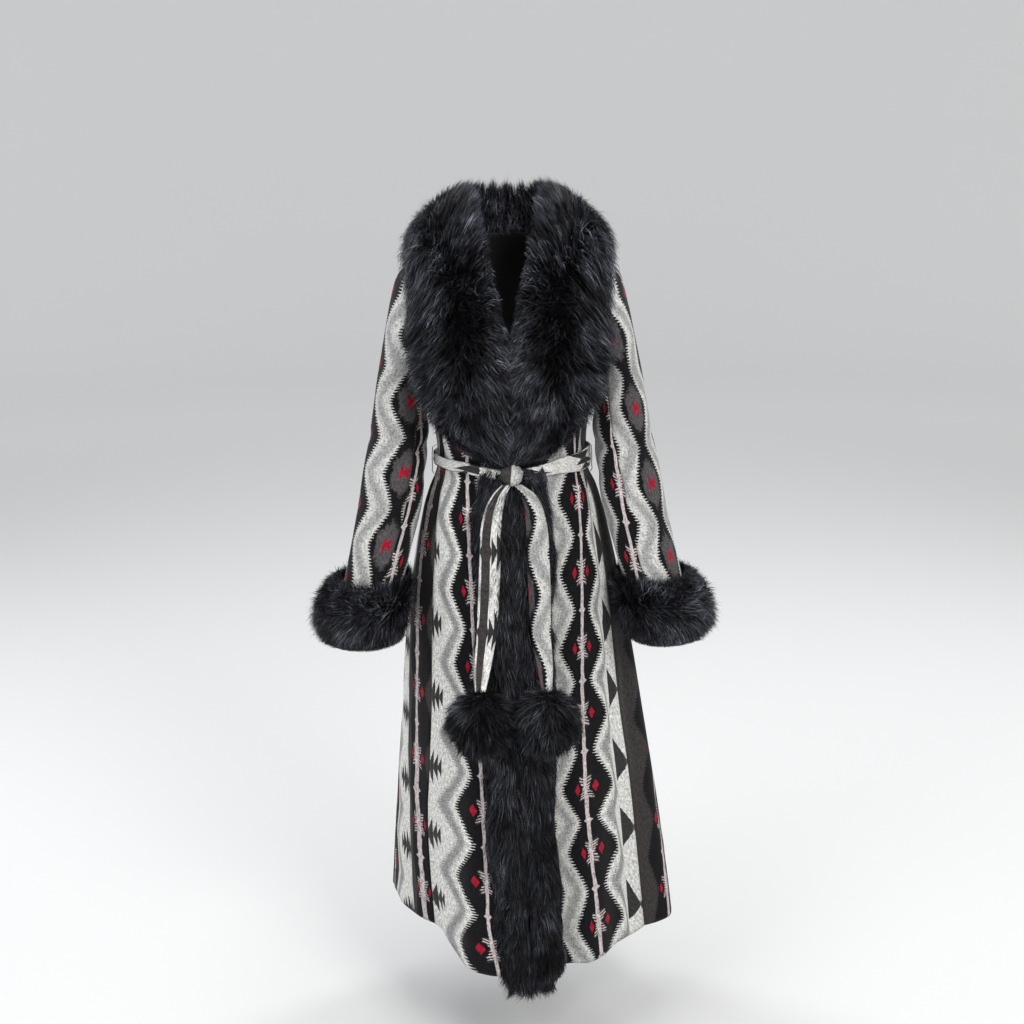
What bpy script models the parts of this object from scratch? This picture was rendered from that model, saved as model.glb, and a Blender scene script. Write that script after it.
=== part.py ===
"""A long belted coat of patterned wool cloth, with a fur shawl collar, fur front edges, fur cuffs
and a cloth belt whose tails end in fur pompoms. It keeps the hollow form that it has when worn.

Units are metres, +Z is up and the front faces -Y. The origin is on the shoulder line at the middle
of the neck, where a wearer carries the coat. Left and right are the wearer's, so left is +X.
Run with: blender --background --python part.py
"""

import math

import bpy
import numpy as np

# Cloth and gaps
CLOTH = 0.0025  # thickness of the coat cloth
SEAM_GAP = 0.0004  # space between two pieces along a seam
LIFT = 0.0010  # space under a piece that lies on the cloth
FUR_PARTING = 0.0006  # half the space between the two fur edges at the centre front

# Heights that the pieces share
NECK_Z = -0.004  # top row of the shoulders
SHOULDER_TIP_Z = -0.048  # where shoulder seam and sleeve head meet
SIDE_TOP_Z = -0.188  # where the side panel's seams reach the armhole
ARMPIT_Z = -0.245  # lowest point of the armhole
WAIST_Z = -0.400  # middle of the belt
HEM_Z = -1.305  # lower edge of the cloth
FUR_HEM_Z = -1.332  # lower edge of the fur front

# The worn body of the coat: half widths and depths of the outer cloth at each height
BODY_COLUMNS = ("height", "right", "left", "front", "back")
BODY = (
    (0.006, 0.056, 0.056, 0.050, 0.052),
    (-0.004, 0.072, 0.072, 0.056, 0.060),
    (-0.018, 0.106, 0.106, 0.070, 0.072),
    (-0.034, 0.144, 0.144, 0.082, 0.083),
    (-0.048, 0.172, 0.173, 0.089, 0.090),
    (-0.062, 0.182, 0.183, 0.095, 0.095),
    (-0.110, 0.183, 0.184, 0.110, 0.104),
    (-0.150, 0.174, 0.175, 0.122, 0.109),
    (-0.188, 0.163, 0.164, 0.133, 0.111),
    (-0.245, 0.148, 0.149, 0.142, 0.106),
    (-0.310, 0.139, 0.140, 0.132, 0.096),
    (-0.355, 0.133, 0.135, 0.120, 0.090),
    (-0.400, 0.131, 0.134, 0.113, 0.089),
    (-0.450, 0.149, 0.152, 0.118, 0.103),
    (-0.500, 0.164, 0.166, 0.127, 0.120),
    (-0.600, 0.185, 0.187, 0.144, 0.147),
    (-0.750, 0.206, 0.211, 0.165, 0.172),
    (-0.900, 0.219, 0.231, 0.185, 0.193),
    (-1.050, 0.229, 0.250, 0.202, 0.211),
    (-1.200, 0.235, 0.267, 0.215, 0.226),
    (-1.305, 0.238, 0.276, 0.222, 0.236),
    (-1.360, 0.240, 0.280, 0.225, 0.240),
)
SQUARENESS = 2.3  # exponent of the body's rings, where 2 is an ellipse

# The skirt's folds, as the hem's distance from the axis at each crest and hollow. Angles are in
# degrees from the centre front, towards +X. The front half is measured, the back half is its like.
HEM_COLUMNS = ("angle", "radius")
HEM = (
    (-180.0, 0.240),
    (-170.0, 0.231),
    (-158.0, 0.262),
    (-146.0, 0.240),
    (-132.0, 0.268),
    (-119.0, 0.284),
    (-105.0, 0.247),
    (-97.0, 0.229),
    (-89.0, 0.207),
    (-79.0, 0.186),
    (-73.0, 0.172),
    (-64.0, 0.164),
    (-46.0, 0.180),
    (-32.0, 0.207),
    (-23.0, 0.235),
    (-17.5, 0.242),
    (-10.0, 0.246),
    (0.0, 0.238),
    (12.0, 0.226),
    (24.0, 0.221),
    (33.0, 0.239),
    (40.0, 0.237),
    (52.5, 0.227),
    (61.0, 0.233),
    (66.0, 0.241),
    (73.0, 0.252),
    (77.5, 0.274),
    (84.0, 0.297),
    (94.0, 0.299),
    (104.0, 0.284),
    (114.0, 0.260),
    (124.0, 0.270),
    (136.0, 0.279),
    (148.0, 0.247),
    (158.0, 0.240),
    (169.0, 0.263),
    (180.0, 0.240),
)
FOLD_TOP = -0.430  # the folds grow from here down to the hem
FOLD_GROWTH = 1.25
GATHER_COUNT = 17  # small gathers that the belt pulls in round the waist
GATHER_DEPTH = 0.0035
GATHER_REACH = 0.055
GATHER_START = 40  # degrees from the centre front

# The centre front runs a little towards +X on its way down
CENTRE_DRIFT = ((-1.36, 0.020), (-1.20, 0.017), (-0.95, 0.010), (-0.75, 0.004), (-0.40, 0.0), (0.10, 0.0))

# Seams in degrees from the centre front: height, then the angle on the right and on the left side
FRONT_SEAM = (
    (-1.36, 72, 74),
    (-1.30, 71.5, 73),
    (-1.155, 70, 71),
    (-1.05, 67, 70),
    (-0.97, 62, 69),
    (-0.80, 57, 66),
    (-0.57, 59, 68),
    (-0.40, 63, 73),
    (-0.345, 64, 67),
    (-0.30, 64, 64.5),
    (-0.188, 62, 62),
    (-0.150, 60, 60),
    (-0.110, 61, 61),
    (-0.080, 67, 67),
    (-0.062, 76, 76),
    (-0.048, 90, 90),
    (0.010, 90, 90),
)
BACK_SEAM = (
    (-1.36, 112),
    (-1.00, 113),
    (-0.60, 115),
    (-0.40, 116),
    (-0.188, 118),
    (-0.150, 119),
    (-0.110, 118),
    (-0.080, 112),
    (-0.062, 103),
    (-0.048, 90),
    (0.010, 90),
)
# Lower edge of the armhole: degrees away from the side, and height
ARMHOLE_FLOOR = ((0, -0.245), (10, -0.239), (20, -0.220), (28, -0.188), (34, -0.170))

# Neckline: how far the cloth's front edge stands from the centre front at each height
NECKLINE = (
    (-1.36, 0.0020),
    (-0.240, 0.0020),
    (-0.200, 0.0080),
    (-0.140, 0.0180),
    (-0.080, 0.0300),
    (-0.040, 0.0420),
    (-0.018, 0.0520),
    (0.006, 0.0600),
)

PANEL_ROWS = (
    -1.305, -1.240, -1.160, -1.070, -0.980, -0.890, -0.800, -0.715, -0.635, -0.560, -0.500, -0.455,
    -0.420, -0.385, -0.350, -0.310, -0.265, -0.225, -0.188, -0.150, -0.110, -0.080, -0.062, -0.048,
    -0.034, -0.018, -0.004,
)
FRONT_STRIPS = 12  # quads across a front panel
SIDE_STRIPS = 8
BACK_STRIPS = 20

# Sleeves, given for the left one: outer and inner edge, middle and half depth at each height
SLEEVE_COLUMNS = ("height", "outer", "inner", "middle", "half_depth")
SLEEVE = (
    (-0.0515, 0.176, 0.136, 0.000, 0.026),
    (-0.060, 0.187, 0.138, 0.000, 0.044),
    (-0.075, 0.197, 0.140, 0.000, 0.061),
    (-0.095, 0.203, 0.143, -0.001, 0.073),
    (-0.125, 0.210, 0.147, -0.003, 0.081),
    (-0.160, 0.217, 0.150, -0.005, 0.084),
    (-0.200, 0.225, 0.151, -0.007, 0.083),
    (-0.245, 0.234, 0.1505, -0.009, 0.080),
    (-0.300, 0.243, 0.146, -0.014, 0.075),
    (-0.350, 0.251, 0.145, -0.022, 0.071),
    (-0.400, 0.262, 0.151, -0.034, 0.068),
    (-0.470, 0.274, 0.160, -0.051, 0.066),
    (-0.540, 0.288, 0.179, -0.070, 0.064),
    (-0.610, 0.303, 0.197, -0.087, 0.062),
    (-0.650, 0.310, 0.206, -0.095, 0.061),
    (-0.690, 0.315, 0.212, -0.100, 0.060),
)
SLEEVE_STRIPS = 18
SLEEVE_ROWS = (
    -0.0515, -0.062, -0.080, -0.110, -0.150, -0.188, -0.222, -0.250, -0.285, -0.330, -0.375, -0.420,
    -0.470, -0.520, -0.575, -0.632, -0.690,
)
# Soft creases of the sleeve: height, depth and half height
SLEEVE_CREASES = ((-0.335, 0.0030, 0.014), (-0.385, 0.0040, 0.013), (-0.440, 0.0026, 0.014))

# Fur collar of one side, from the centre back (station 0) to the belt. Its foot runs on the cloth from
# the neckline to the outer edge. Rise, tuck and lean place its top over the neckline, over and loft
# place its outer edge and its thickness.
COLLAR_COLUMNS = (
    "station", "inner_angle", "inner_z", "outer_angle", "outer_z", "rise", "tuck", "lean", "over", "loft",
)
COLLAR = (
    (0.0, 180, -0.004, 180, -0.124, 0.086, 0.000, 0.002, 0.022, 0.046),
    (1.0, 150, -0.004, 152, -0.116, 0.086, 0.004, 0.002, 0.022, 0.046),
    (2.0, 120, -0.004, 122, -0.072, 0.086, 0.012, 0.000, 0.018, 0.044),
    (3.0, 92, -0.004, 93, -0.034, 0.085, 0.016, 0.000, 0.005, 0.040),
    (4.0, 66, -0.006, 66, -0.050, 0.072, 0.020, 0.006, 0.032, 0.044),
    (5.0, 47, -0.020, 56, -0.080, 0.048, 0.026, 0.014, 0.060, 0.046),
    (6.0, 27, -0.060, 52, -0.122, 0.030, 0.018, 0.030, 0.062, 0.048),
    (7.0, 11.5, -0.130, 48, -0.172, 0.014, 0.006, 0.030, 0.047, 0.050),
    (8.0, 2.2, -0.210, 45, -0.232, 0.004, 0.000, 0.030, 0.033, 0.048),
    (9.0, 0.6, -0.280, 41, -0.290, 0.000, 0.000, 0.026, 0.024, 0.043),
    (10.0, 0.6, -0.332, 35, -0.330, 0.000, 0.000, 0.020, 0.016, 0.034),
    (11.0, 0.6, -0.374, 28, -0.366, 0.000, 0.000, 0.010, 0.006, 0.014),
)
COLLAR_LIFT = 0.0036
COLLAR_STATIONS = 34
COLLAR_FOOT_POINTS = 7  # section points on the cloth
COLLAR_CURVE_POINTS = 11  # section points over the fur
FUR_WAVE = 0.0022  # height of the soft locks in the fur's outer side

# Fur of the front edges, below the collar: width and thickness at each height
FRONT_FUR = (
    (-0.376, 0.046, 0.006),
    (-0.425, 0.046, 0.006),
    (-0.450, 0.056, 0.018),
    (-0.490, 0.062, 0.026),
    (-0.700, 0.062, 0.028),
    (-1.000, 0.061, 0.029),
    (-1.250, 0.062, 0.029),
    (-1.360, 0.060, 0.028),
)
FRONT_FUR_ROWS = 26
FRONT_FUR_STRIPS = 8

# Fur cuffs: heights, and how far the fur stands out from the sleeve on each side
CUFF_TOP_Z, CUFF_BOTTOM_Z = -0.594, -0.708
CUFF_OUTER, CUFF_INNER, CUFF_DEPTH = 0.040, 0.012, 0.032
CUFF_LIFT = 0.0022
CUFF_COLUMNS = 26

# Belt
BELT_THICK = 0.0030
# Half height of the belt, which is crushed at the front and on the right side
BELT_COURSE = (
    (-180, 0.0180),
    (-130, 0.0165),
    (-90, 0.0110),
    (-30, 0.0095),
    (0, 0.0095),
    (22, 0.0105),
    (60, 0.0170),
    (90, 0.0200),
    (130, 0.0190),
    (180, 0.0180),
)
BELT_HALF_HEIGHT = 0.0200
BELT_OVER_FUR = 0.0085
BELT_COLUMNS = 52
KNOT_HALF = (0.0205, 0.0125, 0.0165)
BELT_BUNCH = 0.7  # how much thicker the crushed belt is at the knot
KNOT_X, KNOT_Z = 0.000, -0.397
KNOT_WAIST = 0.10  # how far the turn of cloth round the knot sinks in
TAIL_THICK = 0.0030
# Middle line and width of each tail, from the knot to the pompom
TAIL_COLUMNS = ("height", "right_x", "left_x", "stand_off", "right_width", "left_width")
TAIL = (
    (-0.4140, -0.009, 0.010, 0.0040, 0.016, 0.016),
    (-0.432, -0.021, 0.027, 0.0060, 0.024, 0.026),
    (-0.460, -0.032, 0.038, 0.0050, 0.032, 0.034),
    (-0.500, -0.038, 0.043, 0.0040, 0.036, 0.038),
    (-0.580, -0.041, 0.045, 0.0040, 0.037, 0.039),
    (-0.670, -0.048, 0.047, 0.0060, 0.035, 0.034),
    (-0.720, -0.055, 0.053, 0.0240, 0.028, 0.027),
    (-0.750, -0.059, 0.055, 0.0500, 0.018, 0.018),
)
TAIL_ROWS = 18
TAIL_BEND = 0.045  # height over which a tail leaves the knot
TAIL_CURL = 0.0025
POMPOM_HALF = (0.0545, 0.0420, 0.0580)

# Thread loops that hold the belt at the sides
LOOP_ANGLE = 90
LOOP_WIDTH, LOOP_THICK = 0.0026, 0.0012
LOOP_HALF_HEIGHT = 0.0265


def smooth(at, stations, values):
    """Values of a table between its rows, on a curve that never overshoots them."""
    x, y = np.asarray(stations, float), np.asarray(values, float)
    if x[0] > x[-1]:
        x, y = x[::-1], y[::-1]
    step = np.diff(x)
    slope = np.diff(y) / step
    turn = slope[:-1] * slope[1:]
    safe = np.where(turn > 0, slope[:-1] + slope[1:], 1.0)
    tangent = np.zeros_like(y)
    tangent[1:-1] = np.where(turn > 0, 2 * turn / safe, 0.0)
    tangent[0], tangent[-1] = slope[0], slope[-1]
    at = np.clip(np.asarray(at, float), x[0], x[-1])
    k = np.clip(np.searchsorted(x, at) - 1, 0, len(step) - 1)
    t = (at - x[k]) / step[k]
    rise = y[k] * (1 + 2 * t) * (1 - t) ** 2 + y[k + 1] * t**2 * (3 - 2 * t)
    lean = step[k] * (tangent[k] * t * (1 - t) ** 2 - tangent[k + 1] * t**2 * (1 - t))
    return rise + lean


def column(table, columns, name):
    index = columns.index(name)
    return [row[index] for row in table]


def fade(value, start, end):
    """0 at start and 1 at end, with a soft run between them."""
    t = np.clip((value - start) / (end - start), 0, 1)
    return t * t * (3 - 2 * t)


def degrees_apart(angle, place):
    return (angle - place + 180.0) % 360.0 - 180.0


def ring_radius(angle, z):
    """Distance of the smooth ring from the axis, before folds and gathers."""
    heights = column(BODY, BODY_COLUMNS, "height")
    right = smooth(z, heights, column(BODY, BODY_COLUMNS, "right"))
    left = smooth(z, heights, column(BODY, BODY_COLUMNS, "left"))
    front = smooth(z, heights, column(BODY, BODY_COLUMNS, "front"))
    back = smooth(z, heights, column(BODY, BODY_COLUMNS, "back"))
    turn = np.radians(angle)
    sine, cosine = np.sin(turn), np.cos(turn)
    across = np.abs(sine) / np.where(sine > 0, left, right)
    along = np.abs(cosine) / np.where(cosine > 0, front, back)
    return (across**SQUARENESS + along**SQUARENESS) ** (-1 / SQUARENESS)


def body_radius(angle, z):
    """Distance of the outer cloth from the axis, at an angle in degrees from the centre front."""
    hem_angles, hem_radii = column(HEM, HEM_COLUMNS, "angle"), column(HEM, HEM_COLUMNS, "radius")
    turned = degrees_apart(angle, 0.0)
    depth = smooth(turned, hem_angles, hem_radii) - ring_radius(turned, HEM_Z)
    grown = np.clip((FOLD_TOP - z) / (FOLD_TOP - HEM_Z), 0, 1.1) ** FOLD_GROWTH
    away = np.abs(z - WAIST_Z)
    near_belt = np.exp(-((away / GATHER_REACH) ** 2)) * fade(away, 0.012, 0.034)
    at_side = fade(np.abs(turned), GATHER_START, GATHER_START + 20)
    turn = np.radians(turned)
    wave = 0.5 - 0.5 * np.cos(GATHER_COUNT * turn + 1.3 * np.sin(2 * turn))
    return ring_radius(turned, z) + depth * grown - GATHER_DEPTH * near_belt * at_side * wave


def body_point(angle, z):
    angle, z = np.broadcast_arrays(np.asarray(angle, float), np.asarray(z, float))
    radius = body_radius(angle, z)
    turn = np.radians(angle)
    return np.stack([radius * np.sin(turn), -radius * np.cos(turn), z], axis=-1)


def unit(vectors):
    return vectors / np.linalg.norm(vectors, axis=-1, keepdims=True)


def body_normal(angle, z):
    """Outward direction of the cloth, from points a little to each side."""
    turn_step, z_step = 0.5, 0.002
    around = body_point(angle + turn_step, z) - body_point(angle - turn_step, z)
    up = body_point(angle, z + z_step) - body_point(angle, z - z_step)
    return unit(np.cross(around, up))


def centre_drift(z):
    return smooth(z, [row[0] for row in CENTRE_DRIFT], [row[1] for row in CENTRE_DRIFT])


def keep_to_side(points, side):
    """Keeps the fur of one front on its own side of the centre front."""
    centre = centre_drift(points[:, 2])
    points[:, 0] = centre + side * np.maximum(side * (points[:, 0] - centre), FUR_PARTING)
    return points


def material(name, colour, roughness, metallic=0.0):
    made = bpy.data.materials.new(name)
    made.use_nodes = True
    shader = made.node_tree.nodes["Principled BSDF"]
    shader.inputs["Base Color"].default_value = (*colour, 1.0)
    shader.inputs["Roughness"].default_value = roughness
    shader.inputs["Metallic"].default_value = metallic
    made.diffuse_color = (*colour, 1.0)
    return made


def make_object(name, points, faces, finish):
    """One closed mesh object, with its faces turned outwards."""
    points = np.asarray(points, float).reshape(-1, 3)
    mesh = bpy.data.meshes.new(name)
    volume = 0.0
    for face in faces:
        for k in range(1, len(face) - 1):
            a, b, c = points[face[0]], points[face[k]], points[face[k + 1]]
            volume += float(np.dot(a, np.cross(b, c)))
    if volume < 0:
        faces = [tuple(reversed(face)) for face in faces]
    mesh.from_pydata([tuple(p) for p in points], [], [tuple(f) for f in faces])
    mesh.validate()
    mesh.shade_smooth()
    mesh.set_sharp_from_angle(angle=math.radians(50))
    mesh.materials.append(finish)
    made = bpy.data.objects.new(name, mesh)
    bpy.context.scene.collection.objects.link(made)
    return made


def wall(name, outer, normals, thickness, finish):
    """A sheet of cloth: rows and columns of outer points, and the same moved in by its thickness."""
    rows, columns = outer.shape[:2]
    inner = outer - normals * thickness
    points = np.concatenate([outer.reshape(-1, 3), inner.reshape(-1, 3)])
    under = rows * columns

    def at(i, j):
        return i * columns + j

    faces = []
    for i in range(rows - 1):
        for j in range(columns - 1):
            quad = (at(i, j), at(i, j + 1), at(i + 1, j + 1), at(i + 1, j))
            faces.append(quad)
            faces.append(tuple(under + k for k in reversed(quad)))
    rim = [at(0, j) for j in range(columns)]
    rim += [at(i, columns - 1) for i in range(1, rows)]
    rim += [at(rows - 1, j) for j in range(columns - 2, -1, -1)]
    rim += [at(i, 0) for i in range(rows - 2, 0, -1)]
    for a, b in zip(rim, rim[1:] + rim[:1]):
        faces.append((b, a, under + a, under + b))
    return make_object(name, points, faces, finish)


def loft(name, sections, finish, round_path=False):
    """A body swept through closed sections, either round a loop or closed by a cap at each end."""
    stations, ring = sections.shape[:2]
    points = list(sections.reshape(-1, 3))
    faces = []
    for i in range(stations if round_path else stations - 1):
        here, there = i * ring, (i + 1) % stations * ring
        for j in range(ring):
            k = (j + 1) % ring
            faces.append((here + j, here + k, there + k, there + j))
    if not round_path:
        for first, turned in ((0, True), ((stations - 1) * ring, False)):
            centre = len(points)
            points.append(sections[0 if first == 0 else -1].mean(axis=0))
            for j in range(ring):
                k = (j + 1) % ring
                faces.append((centre, first + k, first + j) if turned else (centre, first + j, first + k))
    return make_object(name, np.array(points), faces, finish)


def closed_curve(controls, steps):
    """Points on a smooth line through control points, from the second to the last but one."""
    made = []
    for i in range(1, len(controls) - 2):
        a, b, c, d = controls[i - 1 : i + 3]
        for t in np.arange(steps) / steps:
            made.append(
                0.5
                * (2 * b + (c - a) * t + (2 * a - 5 * b + 4 * c - d) * t**2 + (3 * b - a - 3 * c + d) * t**3)
            )
    made.append(controls[-2])
    return np.array(made)


def seam_angle(table, z, side=1):
    """Angle of a seam on the right side (side -1) or the left one, which may be its own column."""
    return smooth(z, [row[0] for row in table], [row[1 if side < 0 else -1] for row in table])


def front_edge_angle(z, side):
    """Angle of the cloth's front edge, which is the neckline above and the centre front below."""
    stand = smooth(z, [row[0] for row in NECKLINE], [row[1] for row in NECKLINE]) + side * centre_drift(z)
    heights = column(BODY, BODY_COLUMNS, "height")
    front = smooth(z, heights, column(BODY, BODY_COLUMNS, "front"))
    return np.degrees(np.arcsin(np.clip(stand / front, -0.5, 0.98)))


def panel(name, rows, low_angle, high_angle, strips, side, finish, armhole=False):
    """A body panel between two seams, which are given in degrees for each row."""
    rows = np.asarray(rows, float)
    share = np.linspace(0, 1, strips + 1)[None, :]
    gap = np.degrees(0.5 * SEAM_GAP / body_radius(90.0 * side, rows))
    low, high = low_angle(rows) + gap, high_angle(rows) - gap
    angle = low[:, None] + (high - low)[:, None] * share
    z = np.broadcast_to(rows[:, None], angle.shape).copy()
    if armhole:
        floor_angle = [row[0] for row in ARMHOLE_FLOOR]
        floor_z = [row[1] for row in ARMHOLE_FLOOR]
        dip = smooth(np.abs(angle - 90.0), floor_angle, floor_z) - SIDE_TOP_Z
        z = z + np.minimum(dip, 0) * fade(z, -0.345, SIDE_TOP_Z)
    angle = angle * side
    return wall(name, body_point(angle, z), body_normal(angle, z), CLOTH, finish)


def armhole_angle(z, seam):
    """Angle of the armhole's edge at a height: the seam above, and the side panel's top below."""
    floor_angle = np.array([row[0] for row in ARMHOLE_FLOOR], float)
    floor_z = np.array([row[1] for row in ARMHOLE_FLOOR], float)
    low = np.interp(z, floor_z, floor_angle)
    sign = 1.0 if seam is BACK_SEAM else -1.0
    return np.where(z < SIDE_TOP_Z, 90.0 + sign * low, seam_angle(seam, z))


def sleeve_ring(z, turn):
    """Outer cloth of the left sleeve. Turn 0 is the underarm seam, 90 the front and 180 outside."""
    heights = column(SLEEVE, SLEEVE_COLUMNS, "height")
    outer, inner, middle, half_depth = (
        smooth(z, heights, column(SLEEVE, SLEEVE_COLUMNS, name)) for name in SLEEVE_COLUMNS[1:]
    )
    t = np.radians(turn)
    half = 0.5 * (outer - inner)
    crease = np.zeros_like(half * t)
    for height, depth, reach in SLEEVE_CREASES:
        tilt = height + 0.020 * np.cos(t)
        crease = crease + depth * np.exp(-(((z - tilt) / reach) ** 2)) * (0.5 + 0.5 * np.cos(t))
    x = 0.5 * (outer + inner) - (half - crease) * np.cos(t)
    y = middle - (half_depth - crease) * np.sin(t)
    return np.stack([x, y, np.broadcast_to(z, x.shape)], axis=-1)


def sleeve_points(rows, share):
    """Points of the left sleeve's outer cloth, which meets the armhole above the armpit."""
    z = np.asarray(rows, float)[:, None]
    share = np.asarray(share, float)[None, :]
    heights = column(SLEEVE, SLEEVE_COLUMNS, "height")
    outer, inner, middle, half_depth = (
        smooth(z, heights, column(SLEEVE, SLEEVE_COLUMNS, name)) for name in SLEEVE_COLUMNS[1:]
    )
    ends = []
    for seam in (FRONT_SEAM, BACK_SEAM):
        edge = body_point(armhole_angle(z, seam), z)
        centre = np.stack([0.5 * (outer + inner), middle, z], axis=-1)
        inwards = unit((centre - edge) * np.array([0.15, 1.0, 0.0]))
        edge = edge + inwards * SEAM_GAP + np.array([SEAM_GAP, 0, 0])
        turn = np.degrees(
            np.arctan2((middle - edge[..., 1]) / half_depth, (outer + inner - 2 * edge[..., 0]) / (outer - inner))
        )
        ends.append((edge, turn % 360.0))
    above = z > ARMPIT_Z + 0.0005
    seam_turn = np.degrees(0.5 * SEAM_GAP / half_depth) * 1.5
    start = np.where(above, ends[0][1], seam_turn)
    stop = np.where(above, ends[1][1], 360.0 - seam_turn)
    points = sleeve_ring(z, start + (stop - start) * share)
    for (edge, turn), weight in zip(ends, (1 - share, share)):
        pull = fade(weight, 0.55, 1.0)[..., None] * above[..., None]
        points = points + pull * (edge - sleeve_ring(z, turn))
    return points


def grid_normals(points):
    """Outward directions of a grid whose rows go down and whose columns go round from the front."""
    across = np.gradient(points, axis=1)
    down = np.gradient(points, axis=0)
    return unit(np.cross(across, down))


def sleeve(name, side, finish):
    share = np.linspace(0, 1, SLEEVE_STRIPS + 1)
    points = sleeve_points(SLEEVE_ROWS, share)
    normals = grid_normals(points)
    outwards = points - points.mean(axis=1, keepdims=True)
    if float((normals * outwards).sum()) < 0:
        normals = -normals
    flip = np.array([side, 1.0, 1.0])
    return wall(name, points * flip, normals * flip, CLOTH, finish)


def collar_value(station, name):
    stations = column(COLLAR, COLLAR_COLUMNS, "station")
    return float(smooth(station, stations, column(COLLAR, COLLAR_COLUMNS, name)))


def clear_of_body(point, space):
    """Moves a point out from the axis until it stands clear of the coat's body."""
    if point[2] > NECK_Z:
        return point
    angle = math.degrees(math.atan2(point[0], -point[1]))
    need = float(body_radius(angle, point[2])) + space
    have = math.hypot(point[0], point[1])
    if have >= need:
        return point
    return np.array([point[0] * need / have, point[1] * need / have, point[2]])


def fur_wave(along, around):
    """Soft locks of the fur, so that its solid isn't smooth."""
    return FUR_WAVE * (np.sin(along * 2.9 + 2.1 * np.sin(around * 1.7)) * np.sin(around * 2.3 + along))


def collar_section(station, side):
    """One section of the fur collar: its foot on the cloth, then the curve over the fur."""
    inner_angle, inner_z = collar_value(station, "inner_angle"), collar_value(station, "inner_z")
    outer_angle, outer_z = collar_value(station, "outer_angle"), collar_value(station, "outer_z")
    rise, tuck, lean = (collar_value(station, name) for name in ("rise", "tuck", "lean"))
    over, height = collar_value(station, "over"), collar_value(station, "loft")
    share = np.linspace(0, 1, COLLAR_FOOT_POINTS)
    angles = side * (inner_angle + (outer_angle - inner_angle) * share)
    heights = inner_z + (outer_z - inner_z) * share
    normals = body_normal(angles, heights)
    feet = body_point(angles, heights) + normals * COLLAR_LIFT
    outwards = (feet[-1] - feet[0]) * np.array([1.0, 0.0, 1.0])
    outwards = outwards / np.linalg.norm(outwards)
    up = np.array([0.0, 0.0, 1.0])
    top_in = feet[0] + up * rise + normals[0] * lean - np.array([side * tuck, 0.0, 0.0])
    middle = 0.5 * (feet[0] + feet[-1]) + 0.42 * rise * up + normals[COLLAR_FOOT_POINTS // 2] * height
    top_out = feet[-1] + outwards * over * 0.55 + normals[-1] * height * 0.92 + up * rise * 0.10
    tip = feet[-1] + outwards * over + normals[-1] * (0.012 + 0.20 * height)
    curve = closed_curve([feet[-2], feet[-1], tip, top_out, middle, top_in, feet[0], feet[1]], 6)
    pick = np.linspace(0, len(curve) - 1, COLLAR_CURVE_POINTS + 2)[1:-1]
    over_fur = np.stack([np.interp(pick, np.arange(len(curve)), curve[:, k]) for k in range(3)], axis=-1)
    made = []
    centre = feet.mean(axis=0)
    for number, point in enumerate(over_fur):
        away = (point - centre) / np.linalg.norm(point - centre)
        point = point + away * fur_wave(station * 2.6, number * 0.9)
        point = clear_of_body(point, LIFT)
        made.append(point)
    section = np.concatenate([feet, np.array(made)])
    return keep_to_side(section, side)


def fur_collar(name, side, finish):
    stations = np.linspace(COLLAR[0][0], COLLAR[-1][0], COLLAR_STATIONS)
    return loft(name, np.array([collar_section(s, side) for s in stations]), finish)


def front_fur(name, side, finish):
    """The fur edge of one front, from under the collar to below the hem."""
    heights = [row[0] for row in FRONT_FUR]
    rows = np.linspace(FRONT_FUR[0][0], FUR_HEM_Z, FRONT_FUR_ROWS)
    sections = []
    for z in rows:
        width = float(smooth(z, heights, [row[1] for row in FRONT_FUR]))
        thick = float(smooth(z, heights, [row[2] for row in FRONT_FUR]))
        thick *= 1.0 - 0.55 * float(fade(z, FUR_HEM_Z + 0.030, FUR_HEM_Z))
        share = np.linspace(0, 1, FRONT_FUR_STRIPS + 1)
        front = float(body_radius(0.0, z))
        middle = float(centre_drift(z))
        angle = np.degrees((middle + side * (FUR_PARTING * 1.5 + share * width)) / front)
        base, normal = body_point(angle, z), body_normal(angle, z)
        profile = (1 - np.abs(2 * share - 1) ** 3.0) ** 0.45
        wave = fur_wave(z * 60, share * 5.0) * profile * min(1.0, thick / 0.02)
        top = base + normal * (LIFT + thick * profile + wave)[:, None]
        under = base + normal * LIFT
        section = np.concatenate([under, top[1:-1][::-1]])
        sections.append(keep_to_side(section, side))
    return loft(name, np.array(sections), finish)


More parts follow.
